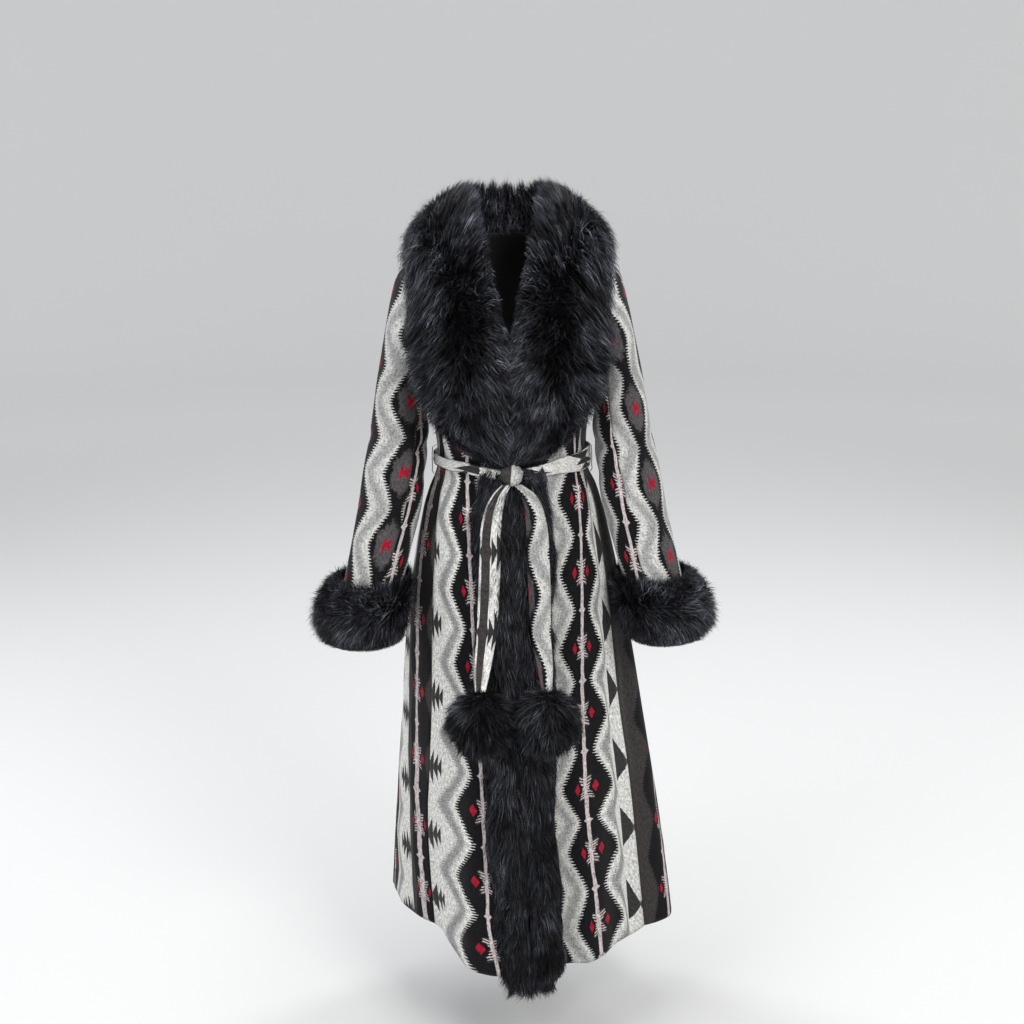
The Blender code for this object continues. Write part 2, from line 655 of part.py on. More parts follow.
def fur_cuff(name, side, finish):
    """A ring of fur round the end of a sleeve."""
    turns = np.linspace(0, 360, CUFF_COLUMNS, endpoint=False)
    middle_z = 0.5 * (CUFF_TOP_Z + CUFF_BOTTOM_Z)
    half = 0.5 * (CUFF_TOP_Z - CUFF_BOTTOM_Z)
    sections = []
    for turn in turns:
        inside, outside = [], []
        cosine = math.cos(math.radians(turn))
        stand = CUFF_DEPTH - 0.5 * (CUFF_OUTER - CUFF_INNER) * cosine
        stand += 0.25 * (CUFF_OUTER + CUFF_INNER - 2 * CUFF_DEPTH) * (1 + math.cos(2 * math.radians(turn)))
        for share in np.linspace(-0.93, 0.93, 5):
            z = middle_z - half * share
            base = sleeve_ring(np.array(z), np.array(turn))
            centre = 0.5 * (base + sleeve_ring(np.array(z), np.array(turn + 180.0)))
            away = unit((base - centre) * np.array([1.0, 1.0, 0.0]))
            inside.append(base + away * CUFF_LIFT)
        for share in np.linspace(1, -1, 9):
            z = middle_z - half * share
            base = sleeve_ring(np.array(z), np.array(turn))
            centre = 0.5 * (base + sleeve_ring(np.array(z), np.array(turn + 180.0)))
            away = unit((base - centre) * np.array([1.0, 1.0, 0.0]))
            bulge = (1 - abs(share) ** 2.6) ** 0.5
            drop = 0.10 * share
            wave = float(fur_wave(math.radians(turn) * 4, share * 4.0)) * bulge
            point = base + away * (CUFF_LIFT + 0.004 + stand * (bulge + drop * bulge) + wave)
            outside.append(clear_of_body(point, 0.0015))
        sections.append(np.array(inside + outside))
    flip = np.array([side, 1.0, 1.0])
    return loft(name, np.array(sections) * flip, finish, round_path=True)


def belt_space(angle):
    """Space between the cloth and the belt's inner side, which is wider over the fur."""
    over_fur = 1 - fade(np.abs(degrees_apart(angle, 0.0)), 28, 44)
    return LIFT + 0.0004 + (BELT_OVER_FUR - LIFT) * over_fur


def belt_waist(angle):
    """The waist line that the belt lies round: the widest radius within its height."""
    heights = WAIST_Z + np.linspace(-BELT_HALF_HEIGHT, BELT_HALF_HEIGHT, 5)
    return np.max([body_radius(angle, z) for z in heights], axis=0)


def belt(name, finish):
    angles = np.linspace(-180, 180, BELT_COLUMNS, endpoint=False)
    sections = []
    for angle in angles:
        near_knot = 1 - float(fade(abs(degrees_apart(angle, 0.0)), 9, 52))
        half = float(smooth(angle, [row[0] for row in BELT_COURSE], [row[1] for row in BELT_COURSE]))
        inner = float(belt_waist(angle) + belt_space(angle))
        thick = BELT_THICK * (1 + BELT_BUNCH * near_knot)
        ridge = 0.0012 * math.sin(math.radians(angle) * 9)
        turn = math.radians(angle)
        section = []
        for share, depth in (
            (-1, 0), (-0.4, 0), (0.4, 0), (1, 0), (1, 1), (0.35, 1.25), (-0.3, 1.0), (-1, 1),
        ):
            radius = inner + thick * depth + (abs(ridge) if depth > 1 else 0)
            z = WAIST_Z + share * half
            section.append((radius * math.sin(turn), -radius * math.cos(turn), z))
        sections.append(section)
    return loft(name, np.array(sections), finish, round_path=True)


def ball(name, centre, half, finish, rows=12, columns=18, wave=None):
    """A round body about a point, with half sizes along X, Y and Z and an optional wave."""
    centre, half = np.array(centre, float), np.array(half, float)
    points = [centre + (0, 0, half[2])]
    for i in range(1, rows):
        lean = math.pi * i / rows
        for j in range(columns):
            turn = 2 * math.pi * j / columns
            out = np.array([math.sin(lean) * math.cos(turn), math.sin(lean) * math.sin(turn), math.cos(lean)])
            grow = 1.0 + (wave(lean, turn) if wave else 0.0)
            points.append(centre + out * half * grow)
    points.append(centre - (0, 0, half[2]))
    last = len(points) - 1
    faces = []
    for j in range(columns):
        k = (j + 1) % columns
        faces.append((0, 1 + j, 1 + k))
        faces.append((last, last - columns + k, last - columns + j))
        for i in range(rows - 2):
            here, there = 1 + i * columns, 1 + (i + 1) * columns
            faces.append((here + j, there + j, there + k, here + k))
    return make_object(name, points, faces, finish)


def knot_y():
    """Middle of the knot, which stands on the front of the belt."""
    belt_front = float(belt_waist(0.0) + belt_space(0.0)) + BELT_THICK * (1 + BELT_BUNCH) * 1.25
    return -(belt_front + KNOT_HALF[1] * (1 - KNOT_WAIST) + 1.5 * SEAM_GAP)


def belt_knot(name, finish):
    """The knot stands on the belt at the centre front, wrapped by a turn of cloth."""
    def wrap(lean, turn):
        return -KNOT_WAIST * math.exp(-((math.cos(turn) * math.sin(lean) / 0.16) ** 2))

    return ball(name, (KNOT_X, knot_y(), KNOT_Z), KNOT_HALF, finish, rows=10, columns=16, wave=wrap)


def tail_value(z, name):
    return float(smooth(z, column(TAIL, TAIL_COLUMNS, "height"), column(TAIL, TAIL_COLUMNS, name)))


def tail_line(z, word):
    """Middle of a tail's inner side, which leaves the knot and lies on the fur below it."""
    fur = float(smooth(z, [row[0] for row in FRONT_FUR], [row[2] for row in FRONT_FUR]))
    surface = float(body_radius(0.0, z)) + LIFT + max(fur, 0.010) + FUR_WAVE
    from_knot = float(fade(-z, -TAIL[0][0], -TAIL[0][0] + TAIL_BEND))
    y = (1 - from_knot) * (knot_y() + 0.5 * TAIL_THICK) - from_knot * (surface + tail_value(z, "stand_off"))
    return tail_value(z, word + "_x"), y


def belt_tail(name, word, finish):
    """A belt end that hangs from the knot in front of the fur, down to its pompom."""
    sections = []
    for z in np.linspace(TAIL[0][0], TAIL[-1][0], TAIL_ROWS):
        x, y = tail_line(z, word)
        half = 0.5 * tail_value(z, word + "_width")
        section = []
        for across, deep in ((-1, 0), (-0.35, 0), (0.35, 0), (1, 0), (1, 1), (0.35, 1), (-0.35, 1), (-1, 1)):
            curl = TAIL_CURL * math.cos(math.pi * across) * min(1.0, (half / 0.018) ** 3)
            section.append((x + across * half, y - curl - TAIL_THICK * deep, z))
        sections.append(section)
    return loft(name, np.array(sections), finish)


def pompom(name, word, finish):
    """A flattened ball of fur that hangs right under its belt end."""
    x, y = tail_line(TAIL[-1][0], word)
    centre = (x, y - 0.5 * TAIL_THICK, TAIL[-1][0] - POMPOM_HALF[2] - SEAM_GAP)

    def locks(lean, turn):
        return 0.035 * math.sin(5 * turn + 2 * math.sin(3 * lean)) * math.sin(lean) ** 2

    return ball(name, centre, POMPOM_HALF, finish, rows=12, columns=20, wave=locks)


def belt_loop(name, side, finish):
    """A thread loop at the side seam, over the belt and back to the cloth."""
    angle = LOOP_ANGLE * side
    waist = float(belt_waist(angle) + belt_space(angle)) + BELT_THICK * 1.25 + 0.0020
    top, low = WAIST_Z + LOOP_HALF_HEIGHT, WAIST_Z - LOOP_HALF_HEIGHT
    near = 0.0016
    path = [
        (float(body_radius(angle, top)) + near, top),
        (waist - 0.0012, WAIST_Z + BELT_HALF_HEIGHT + 0.0022),
        (waist, WAIST_Z + 0.012),
        (waist + 0.0004, WAIST_Z),
        (waist, WAIST_Z - 0.012),
        (waist + 0.0008, WAIST_Z - BELT_HALF_HEIGHT - 0.0018),
        (float(body_radius(angle, low)) + near, low - 0.0006),
    ]
    path = np.array(path)
    sections = []
    for (radius, z), (along_r, along_z) in zip(path, unit(np.gradient(path, axis=0))):
        out, up = LOOP_THICK * abs(along_z), LOOP_THICK * abs(along_r) * np.sign(z - WAIST_Z)
        half = 0.5 * LOOP_WIDTH
        section = [(radius, -half, z), (radius, half, z)]
        section += [(radius + out, half, z + up), (radius + out, -half, z + up)]
        sections.append(np.array(section) * np.array([side, 1.0, 1.0]))
    return loft(name, np.array(sections), finish)


def main():
    for old in list(bpy.data.objects):
        bpy.data.objects.remove(old, do_unlink=True)
    cloth = material("wool_cloth", (0.16, 0.16, 0.17), 0.92)
    fur = material("black_fur", (0.012, 0.012, 0.016), 0.55)
    thread = material("thread", (0.03, 0.03, 0.03), 0.8)

    for side, word in ((-1, "right"), (1, "left")):
        panel(
            "front_panel_" + word, PANEL_ROWS, lambda z, side=side: front_edge_angle(z, side),
            lambda z, side=side: seam_angle(FRONT_SEAM, z, side), FRONT_STRIPS, side, cloth,
        )
        panel(
            "side_panel_" + word, [z for z in PANEL_ROWS if z <= SIDE_TOP_Z],
            lambda z, side=side: seam_angle(FRONT_SEAM, z, side), lambda z: seam_angle(BACK_SEAM, z),
            SIDE_STRIPS, side, cloth, armhole=True,
        )
        sleeve("sleeve_" + word, side, cloth)
        fur_collar("fur_collar_" + word, side, fur)
        front_fur("fur_front_" + word, side, fur)
        fur_cuff("fur_cuff_" + word, side, fur)
        belt_tail("belt_tail_" + word, word, cloth)
        pompom("pompom_" + word, word, fur)
        belt_loop("belt_loop_" + word, side, thread)
    panel(
        "back_panel", PANEL_ROWS, lambda z: seam_angle(BACK_SEAM, z),
        lambda z: 360.0 - seam_angle(BACK_SEAM, z), BACK_STRIPS, 1, cloth,
    )
    belt("belt", cloth)
    belt_knot("belt_knot", cloth)


main()
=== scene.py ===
"""The looks of the belted coat: patterned wool cloth with soft creases, long black fur and a tied belt.

Every shape is worked out from the same tables and functions as the solids, so each piece lies where
its solid is. Units are metres, +Z is up and the front faces -Y. Left and right are the wearer's.
"""

import math

import bpy
import numpy as np
from mathutils import Matrix

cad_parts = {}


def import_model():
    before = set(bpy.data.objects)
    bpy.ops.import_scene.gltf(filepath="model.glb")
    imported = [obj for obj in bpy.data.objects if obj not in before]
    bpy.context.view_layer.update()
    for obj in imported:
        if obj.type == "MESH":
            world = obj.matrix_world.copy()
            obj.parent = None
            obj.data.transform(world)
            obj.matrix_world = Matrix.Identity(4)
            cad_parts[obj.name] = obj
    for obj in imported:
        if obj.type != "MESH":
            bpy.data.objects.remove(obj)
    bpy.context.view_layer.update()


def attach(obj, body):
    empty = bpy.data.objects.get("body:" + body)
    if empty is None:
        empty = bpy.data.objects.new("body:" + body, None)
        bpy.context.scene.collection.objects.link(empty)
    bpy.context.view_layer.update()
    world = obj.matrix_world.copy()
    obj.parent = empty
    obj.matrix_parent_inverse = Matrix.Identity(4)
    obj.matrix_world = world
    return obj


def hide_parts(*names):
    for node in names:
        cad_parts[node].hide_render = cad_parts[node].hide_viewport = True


CM, MM = 0.01, 0.001  # charts are in centimetres and creases in millimetres

# Cloth and gaps
CLOTH = 0.0025  # thickness of the coat cloth
SEAM_GAP = 0.0004  # space between two pieces along a seam
LIFT = 0.0010  # space under a piece that lies on the cloth
FUR_PARTING = 0.0006  # half the space between the two fur edges at the centre front

# Heights that the pieces share
NECK_Z = -0.004  # top row of the shoulders
SIDE_TOP_Z = -0.188  # where the side panel's seams reach the armhole
ARMPIT_Z = -0.245  # lowest point of the armhole
WAIST_Z = -0.400  # middle of the belt
HEM_Z = -1.305  # lower edge of the cloth
FUR_HEM_Z = -1.332  # lower edge of the fur front

# The worn body of the coat: each ring's height, and how far the outer cloth reaches to the right,
# left, front and back
BODY = (
    (0.006, 0.056, 0.056, 0.050, 0.052), (-0.004, 0.072, 0.072, 0.056, 0.060),
    (-0.018, 0.106, 0.106, 0.070, 0.072), (-0.034, 0.144, 0.144, 0.082, 0.083),
    (-0.048, 0.172, 0.173, 0.089, 0.090), (-0.062, 0.182, 0.183, 0.095, 0.095),
    (-0.110, 0.183, 0.184, 0.110, 0.104), (-0.150, 0.174, 0.175, 0.122, 0.109),
    (-0.188, 0.163, 0.164, 0.133, 0.111), (-0.245, 0.148, 0.149, 0.142, 0.106),
    (-0.310, 0.139, 0.140, 0.132, 0.096), (-0.355, 0.133, 0.135, 0.120, 0.090),
    (-0.400, 0.131, 0.134, 0.113, 0.089), (-0.450, 0.149, 0.152, 0.118, 0.103),
    (-0.500, 0.164, 0.166, 0.127, 0.120), (-0.600, 0.185, 0.187, 0.144, 0.147),
    (-0.750, 0.206, 0.211, 0.165, 0.172), (-0.900, 0.219, 0.231, 0.185, 0.193),
    (-1.050, 0.229, 0.250, 0.202, 0.211), (-1.200, 0.235, 0.267, 0.215, 0.226),
    (-1.305, 0.238, 0.276, 0.222, 0.236), (-1.360, 0.240, 0.280, 0.225, 0.240),
)
SQUARENESS = 2.3  # exponent of the body's rings, where 2 is an ellipse

# The skirt's folds, as the hem's distance from the axis at each crest and hollow. Angles are in
# degrees from the centre front, towards +X. The front half is measured, the back half is its like.
HEM = (
    (-180.0, 0.240), (-170.0, 0.231), (-158.0, 0.262), (-146.0, 0.240), (-132.0, 0.268),
    (-119.0, 0.284), (-105.0, 0.247), (-97.0, 0.229), (-89.0, 0.207), (-79.0, 0.186), (-73.0, 0.172),
    (-64.0, 0.164), (-46.0, 0.180), (-32.0, 0.207), (-23.0, 0.235), (-17.5, 0.242), (-10.0, 0.246),
    (0.0, 0.238), (12.0, 0.226), (24.0, 0.221), (33.0, 0.239), (40.0, 0.237), (52.5, 0.227),
    (61.0, 0.233), (66.0, 0.241), (73.0, 0.252), (77.5, 0.274), (84.0, 0.297), (94.0, 0.299),
    (104.0, 0.284), (114.0, 0.260), (124.0, 0.270), (136.0, 0.279), (148.0, 0.247), (158.0, 0.240),
    (169.0, 0.263), (180.0, 0.240),
)
FOLD_TOP = -0.430  # the folds grow from here down to the hem
FOLD_GROWTH = 1.25
GATHER_COUNT = 17  # small gathers that the belt pulls in round the waist
GATHER_DEPTH = 0.0035
GATHER_REACH = 0.055
GATHER_START = 40  # degrees from the centre front

# The centre front runs a little towards +X on its way down
CENTRE_DRIFT = ((-1.36, 0.020), (-1.20, 0.017), (-0.95, 0.010), (-0.75, 0.004), (-0.40, 0.0), (0.10, 0.0))

# Seams in degrees from the centre front: height, then the angle on the right and on the left side
FRONT_SEAM = (
    (-1.36, 72, 74), (-1.30, 71.5, 73), (-1.155, 70, 71), (-1.05, 67, 70), (-0.97, 62, 69),
    (-0.80, 57, 66), (-0.57, 59, 68), (-0.40, 63, 73), (-0.345, 64, 67), (-0.30, 64, 64.5),
    (-0.188, 62, 62), (-0.150, 60, 60), (-0.110, 61, 61), (-0.080, 67, 67), (-0.062, 76, 76),
    (-0.048, 90, 90), (0.010, 90, 90),
)
BACK_SEAM = (
    (-1.36, 112), (-1.00, 113), (-0.60, 115), (-0.40, 116), (-0.188, 118), (-0.150, 119), (-0.110, 118),
    (-0.080, 112), (-0.062, 103), (-0.048, 90), (0.010, 90),
)
# Lower edge of the armhole: degrees away from the side, and height
ARMHOLE_FLOOR = ((0, -0.245), (10, -0.239), (20, -0.220), (28, -0.188), (34, -0.170))

# Neckline: how far the cloth's front edge stands from the centre front at each height
NECKLINE = (
    (-1.36, 0.0020), (-0.240, 0.0020), (-0.200, 0.0080), (-0.140, 0.0180), (-0.080, 0.0300),
    (-0.040, 0.0420), (-0.018, 0.0520), (0.006, 0.0600),
)

# Sleeves, given for the left one: height, outer and inner edge, middle and half depth
SLEEVE = (
    (-0.0515, 0.176, 0.136, 0.000, 0.026), (-0.060, 0.187, 0.138, 0.000, 0.044),
    (-0.075, 0.197, 0.140, 0.000, 0.061), (-0.095, 0.203, 0.143, -0.001, 0.073),
    (-0.125, 0.210, 0.147, -0.003, 0.081), (-0.160, 0.217, 0.150, -0.005, 0.084),
    (-0.200, 0.225, 0.151, -0.007, 0.083), (-0.245, 0.234, 0.1505, -0.009, 0.080),
    (-0.300, 0.243, 0.146, -0.014, 0.075), (-0.350, 0.251, 0.145, -0.022, 0.071),
    (-0.400, 0.262, 0.151, -0.034, 0.068), (-0.470, 0.274, 0.160, -0.051, 0.066),
    (-0.540, 0.288, 0.179, -0.070, 0.064), (-0.610, 0.303, 0.197, -0.087, 0.062),
    (-0.650, 0.310, 0.206, -0.095, 0.061), (-0.690, 0.315, 0.212, -0.100, 0.060),
)
SLEEVE_TOP_Z, SLEEVE_END_Z = -0.0515, -0.690
# Soft creases of the sleeve: height, depth and half height
SLEEVE_CREASES = ((-0.335, 0.0030, 0.014), (-0.385, 0.0040, 0.013), (-0.440, 0.0026, 0.014))

# Fur collar of one side, from the centre back (station 0) to the belt. Its foot runs on the cloth from
# the neckline to the outer edge. Rise, tuck and lean place its top over the neckline, over and loft
# place its outer edge and its thickness. The columns are station, inner angle and height, outer angle
# and height, rise, tuck, lean, over and loft.
COLLAR = (
    (0.0, 180, -0.004, 180, -0.124, 0.086, 0.000, 0.002, 0.022, 0.046),
    (1.0, 150, -0.004, 152, -0.116, 0.086, 0.004, 0.002, 0.022, 0.046),
    (2.0, 120, -0.004, 122, -0.072, 0.086, 0.012, 0.000, 0.018, 0.044),
    (3.0, 92, -0.004, 93, -0.034, 0.085, 0.016, 0.000, 0.005, 0.040),
    (4.0, 66, -0.006, 66, -0.050, 0.072, 0.020, 0.006, 0.032, 0.044),
    (5.0, 47, -0.020, 56, -0.080, 0.048, 0.026, 0.014, 0.060, 0.046),
    (6.0, 27, -0.060, 52, -0.122, 0.030, 0.018, 0.030, 0.062, 0.048),
    (7.0, 11.5, -0.130, 48, -0.172, 0.014, 0.006, 0.030, 0.047, 0.050),
    (8.0, 2.2, -0.210, 45, -0.232, 0.004, 0.000, 0.030, 0.033, 0.048),
    (9.0, 0.6, -0.280, 41, -0.290, 0.000, 0.000, 0.026, 0.024, 0.043),
    (10.0, 0.6, -0.332, 35, -0.330, 0.000, 0.000, 0.020, 0.016, 0.034),
    (11.0, 0.6, -0.374, 28, -0.366, 0.000, 0.000, 0.010, 0.006, 0.014),
)
COLLAR_LIFT = 0.0036
COLLAR_FOOT_POINTS = 7  # section points on the cloth
COLLAR_CURVE_POINTS = 11  # section points over the fur
COLLAR_SPLIT = 26  # points across the fur where hair grows
FUR_WAVE = 0.0022  # height of the soft locks in the fur's outer side

# Fur of the front edges, below the collar: width and thickness at each height
FRONT_FUR = (
    (-0.376, 0.046, 0.006), (-0.425, 0.046, 0.006), (-0.450, 0.056, 0.018), (-0.490, 0.062, 0.026),
    (-0.700, 0.062, 0.028), (-1.000, 0.061, 0.029), (-1.250, 0.062, 0.029), (-1.360, 0.060, 0.028),
)

# Fur cuffs: heights, and how far the fur stands out from the sleeve on each side
CUFF_TOP_Z, CUFF_BOTTOM_Z = -0.594, -0.708
CUFF_OUTER, CUFF_INNER, CUFF_DEPTH = 0.040, 0.012, 0.032
CUFF_LIFT = 0.0022

# Belt
BELT_THICK = 0.0030
# Half height of the belt, which is crushed at the front and on the right side
BELT_COURSE = (
    (-180, 0.0180), (-130, 0.0165), (-90, 0.0110), (-30, 0.0095), (0, 0.0095), (22, 0.0105),
    (60, 0.0170), (90, 0.0200), (130, 0.0190), (180, 0.0180),
)
BELT_HALF_HEIGHT = 0.0200
BELT_OVER_FUR = 0.0085
KNOT_HALF = (0.0205, 0.0125, 0.0165)
BELT_BUNCH = 0.7  # how much thicker the crushed belt is at the knot
BELT_LEDGE = 0.0165  # how far hair has to stand out to pass over the belt
BELT_RISE = 0.008  # how much higher the band lies beside the fur than at the knot
KNOT_X, KNOT_Z = 0.000, -0.397
KNOT_WAIST = 0.10  # how far the turn of cloth round the knot sinks in
TAIL_THICK = 0.0030
# Middle line and width of each tail, from the knot to the pompom
TAIL_COLUMNS = ("height", "right_x", "left_x", "stand_off", "right_width", "left_width")
TAIL = (
    (-0.4140, -0.009, 0.010, 0.0040, 0.016, 0.016), (-0.432, -0.021, 0.027, 0.0060, 0.024, 0.026),
    (-0.460, -0.032, 0.038, 0.0050, 0.032, 0.034), (-0.500, -0.038, 0.043, 0.0040, 0.036, 0.038),
    (-0.580, -0.041, 0.045, 0.0040, 0.037, 0.039), (-0.670, -0.048, 0.047, 0.0060, 0.035, 0.034),
    (-0.720, -0.055, 0.053, 0.0240, 0.028, 0.027), (-0.750, -0.059, 0.055, 0.0500, 0.018, 0.018),
)
TAIL_BEND = 0.045  # height over which a tail leaves the knot
TAIL_CURL = 0.0025
POMPOM_HALF = (0.0545, 0.0420, 0.0580)

# Thread loops that hold the belt at the sides
LOOP_ANGLE = 90
LOOP_HALF_HEIGHT = 0.0265
LOOP_HALF_DEPTH, LOOP_HALF_WIDTH = 0.0007, 0.0013
LOOP_SIDES = 10


def smooth(at, stations, values):
    """Values of a table between its rows, on a curve that never overshoots them."""
    x, y = np.asarray(stations, float), np.asarray(values, float)
    if x[0] > x[-1]:
        x, y = x[::-1], y[::-1]
    step = np.diff(x)
    slope = np.diff(y) / step
    turn = slope[:-1] * slope[1:]
    safe = np.where(turn > 0, slope[:-1] + slope[1:], 1.0)
    tangent = np.zeros_like(y)
    tangent[1:-1] = np.where(turn > 0, 2 * turn / safe, 0.0)
    tangent[0], tangent[-1] = slope[0], slope[-1]
    at = np.clip(np.asarray(at, float), x[0], x[-1])
    k = np.clip(np.searchsorted(x, at) - 1, 0, len(step) - 1)
    t = (at - x[k]) / step[k]
    rise = y[k] * (1 + 2 * t) * (1 - t) ** 2 + y[k + 1] * t**2 * (3 - 2 * t)
    lean = step[k] * (tangent[k] * t * (1 - t) ** 2 - tangent[k + 1] * t**2 * (1 - t))
    return rise + lean


def table_at(table, at, column=1):
    """A column of a table at places in its first column, on a smooth curve."""
    return smooth(at, [row[0] for row in table], [row[column] for row in table])


def fade(value, start, end):
    """0 at start and 1 at end, with a soft run between them."""
    t = np.clip((value - start) / (end - start), 0, 1)
    return t * t * (3 - 2 * t)


def degrees_apart(angle, place):
    return (angle - place + 180.0) % 360.0 - 180.0


def ring_radius(angle, z):
    """Distance of the smooth ring from the axis, before folds and gathers."""
    right, left, front, back = (table_at(BODY, z, column) for column in range(1, 5))
    turn = np.radians(angle)
    sine, cosine = np.sin(turn), np.cos(turn)
    across = np.abs(sine) / np.where(sine > 0, left, right)
    along = np.abs(cosine) / np.where(cosine > 0, front, back)
    return (across**SQUARENESS + along**SQUARENESS) ** (-1 / SQUARENESS)


def body_radius(angle, z):
    """Distance of the outer cloth from the axis, at an angle in degrees from the centre front."""
    turned = degrees_apart(angle, 0.0)
    depth = table_at(HEM, turned) - ring_radius(turned, HEM_Z)
    grown = np.clip((FOLD_TOP - z) / (FOLD_TOP - HEM_Z), 0, 1.1) ** FOLD_GROWTH
    away = np.abs(z - WAIST_Z)
    near_belt = np.exp(-((away / GATHER_REACH) ** 2)) * fade(away, 0.012, 0.034)
    at_side = fade(np.abs(turned), GATHER_START, GATHER_START + 20)
    turn = np.radians(turned)
    wave = 0.5 - 0.5 * np.cos(GATHER_COUNT * turn + 1.3 * np.sin(2 * turn))
    return ring_radius(turned, z) + depth * grown - GATHER_DEPTH * near_belt * at_side * wave


def body_point(angle, z):
    angle, z = np.broadcast_arrays(np.asarray(angle, float), np.asarray(z, float))
    radius = body_radius(angle, z)
    turn = np.radians(angle)
    return np.stack([radius * np.sin(turn), -radius * np.cos(turn), z], axis=-1)


def unit(vectors):
    return vectors / np.linalg.norm(vectors, axis=-1, keepdims=True)


def body_normal(angle, z):
    """Outward direction of the cloth, from points a little to each side."""
    turn_step, z_step = 0.5, 0.002
    around = body_point(angle + turn_step, z) - body_point(angle - turn_step, z)
    up = body_point(angle, z + z_step) - body_point(angle, z - z_step)
    return unit(np.cross(around, up))


def centre_drift(z):
    return table_at(CENTRE_DRIFT, z)


def keep_to_side(points, side):
    """Keeps the fur of one front on its own side of the centre front."""
    centre = centre_drift(points[:, 2])
    points[:, 0] = centre + side * np.maximum(side * (points[:, 0] - centre), FUR_PARTING)
    return points


def closed_curve(controls, steps):
    """Points on a smooth line through control points, from the second to the last but one."""
    made = []
    for i in range(1, len(controls) - 2):
        a, b, c, d = controls[i - 1 : i + 3]
        for t in np.arange(steps) / steps:
            square, cube = (2 * a - 5 * b + 4 * c - d) * t**2, (3 * b - a - 3 * c + d) * t**3
            made.append(0.5 * (2 * b + (c - a) * t + square + cube))
    made.append(controls[-2])
    return np.array(made)


def seam_angle(table, z, side=1):
    """Angle of a seam on the right side (side -1) or the left one, which may be its own column."""
    return table_at(table, z, 1 if side < 0 else -1)


def front_edge_angle(z, side):
    """Angle of the cloth's front edge, which is the neckline above and the centre front below."""
    stand = table_at(NECKLINE, z) + side * centre_drift(z)
    front = table_at(BODY, z, 3)
    return np.degrees(np.arcsin(np.clip(stand / front, -0.5, 0.98)))


def armhole_angle(z, seam):
    """Angle of the armhole's edge at a height: the seam above, and the side panel's top below."""
    low = np.interp(z, [row[1] for row in ARMHOLE_FLOOR], [row[0] for row in ARMHOLE_FLOOR])
    sign = 1.0 if seam is BACK_SEAM else -1.0
    return np.where(z < SIDE_TOP_Z, 90.0 + sign * low, seam_angle(seam, z))


def sleeve_sizes(z):
    """Outer and inner edge, middle and half depth of the left sleeve at a height."""
    return (table_at(SLEEVE, z, column) for column in range(1, 5))


def sleeve_ring(z, turn):
    """Outer cloth of the left sleeve. Turn 0 is the underarm seam, 90 the front and 180 outside."""
    outer, inner, middle, half_depth = sleeve_sizes(z)
    t = np.radians(turn)
    half = 0.5 * (outer - inner)
    dip = np.zeros_like(half * t)
    for height, depth, reach in SLEEVE_CREASES:
        tilt = height + 0.020 * np.cos(t)
        dip = dip + depth * np.exp(-(((z - tilt) / reach) ** 2)) * (0.5 + 0.5 * np.cos(t))
    x = 0.5 * (outer + inner) - (half - dip) * np.cos(t)
    y = middle - (half_depth - dip) * np.sin(t)
    return np.stack([x, y, np.broadcast_to(z, x.shape)], axis=-1)


def grid_normals(points):
    """Outward directions of a grid whose rows go down and whose columns go round from the front."""
    across = np.gradient(points, axis=1)
    down = np.gradient(points, axis=0)
    return unit(np.cross(across, down))


def clear_of_body(point, space):
    """Moves a point out from the axis until it stands clear of the coat's body."""
    if point[2] > NECK_Z:
        return point
    angle = math.degrees(math.atan2(point[0], -point[1]))
    need = float(body_radius(angle, point[2])) + space
    have = math.hypot(point[0], point[1])
    if have >= need:
        return point
    return np.array([point[0] * need / have, point[1] * need / have, point[2]])


def fur_wave(along, around):
    """Soft locks of the fur, so that its solid isn't smooth."""
    return FUR_WAVE * (np.sin(along * 2.9 + 2.1 * np.sin(around * 1.7)) * np.sin(around * 2.3 + along))


def resampled(at, places, points):
    """Points of a broken line at other places along it."""
    return np.stack([np.interp(at, places, points[:, axis]) for axis in range(3)], axis=-1)


def collar_section(station, side):
    """One section of the fur collar: its foot on the cloth, then the curve over the fur."""
    inner_angle, inner_z, outer_angle, outer_z, rise, tuck, lean, over, loft = (
        float(table_at(COLLAR, station, column)) for column in range(1, 10)
    )
    share = np.linspace(0, 1, COLLAR_FOOT_POINTS)
    angles = side * (inner_angle + (outer_angle - inner_angle) * share)
    heights = inner_z + (outer_z - inner_z) * share
    normals = body_normal(angles, heights)
    feet = body_point(angles, heights) + normals * COLLAR_LIFT
    outwards = (feet[-1] - feet[0]) * np.array([1.0, 0.0, 1.0])
    outwards = outwards / np.linalg.norm(outwards)
    up = np.array([0.0, 0.0, 1.0])
    top_in = feet[0] + up * rise + normals[0] * lean - np.array([side * tuck, 0.0, 0.0])
    middle = 0.5 * (feet[0] + feet[-1]) + 0.42 * rise * up + normals[COLLAR_FOOT_POINTS // 2] * loft
    top_out = feet[-1] + outwards * over * 0.55 + normals[-1] * loft * 0.92 + up * rise * 0.10
    tip = feet[-1] + outwards * over + normals[-1] * (0.012 + 0.20 * loft)
    curve = closed_curve([feet[-2], feet[-1], tip, top_out, middle, top_in, feet[0], feet[1]], 6)
    pick = np.linspace(0, len(curve) - 1, COLLAR_CURVE_POINTS + 2)[1:-1]
    over_fur = resampled(pick, np.arange(len(curve)), curve)
    made = []
    centre = feet.mean(axis=0)
    for number, point in enumerate(over_fur):
        away = (point - centre) / np.linalg.norm(point - centre)
        point = point + away * fur_wave(station * 2.6, number * 0.9)
        made.append(clear_of_body(point, LIFT))
    section = np.concatenate([feet, np.array(made)])
    return keep_to_side(section, side)


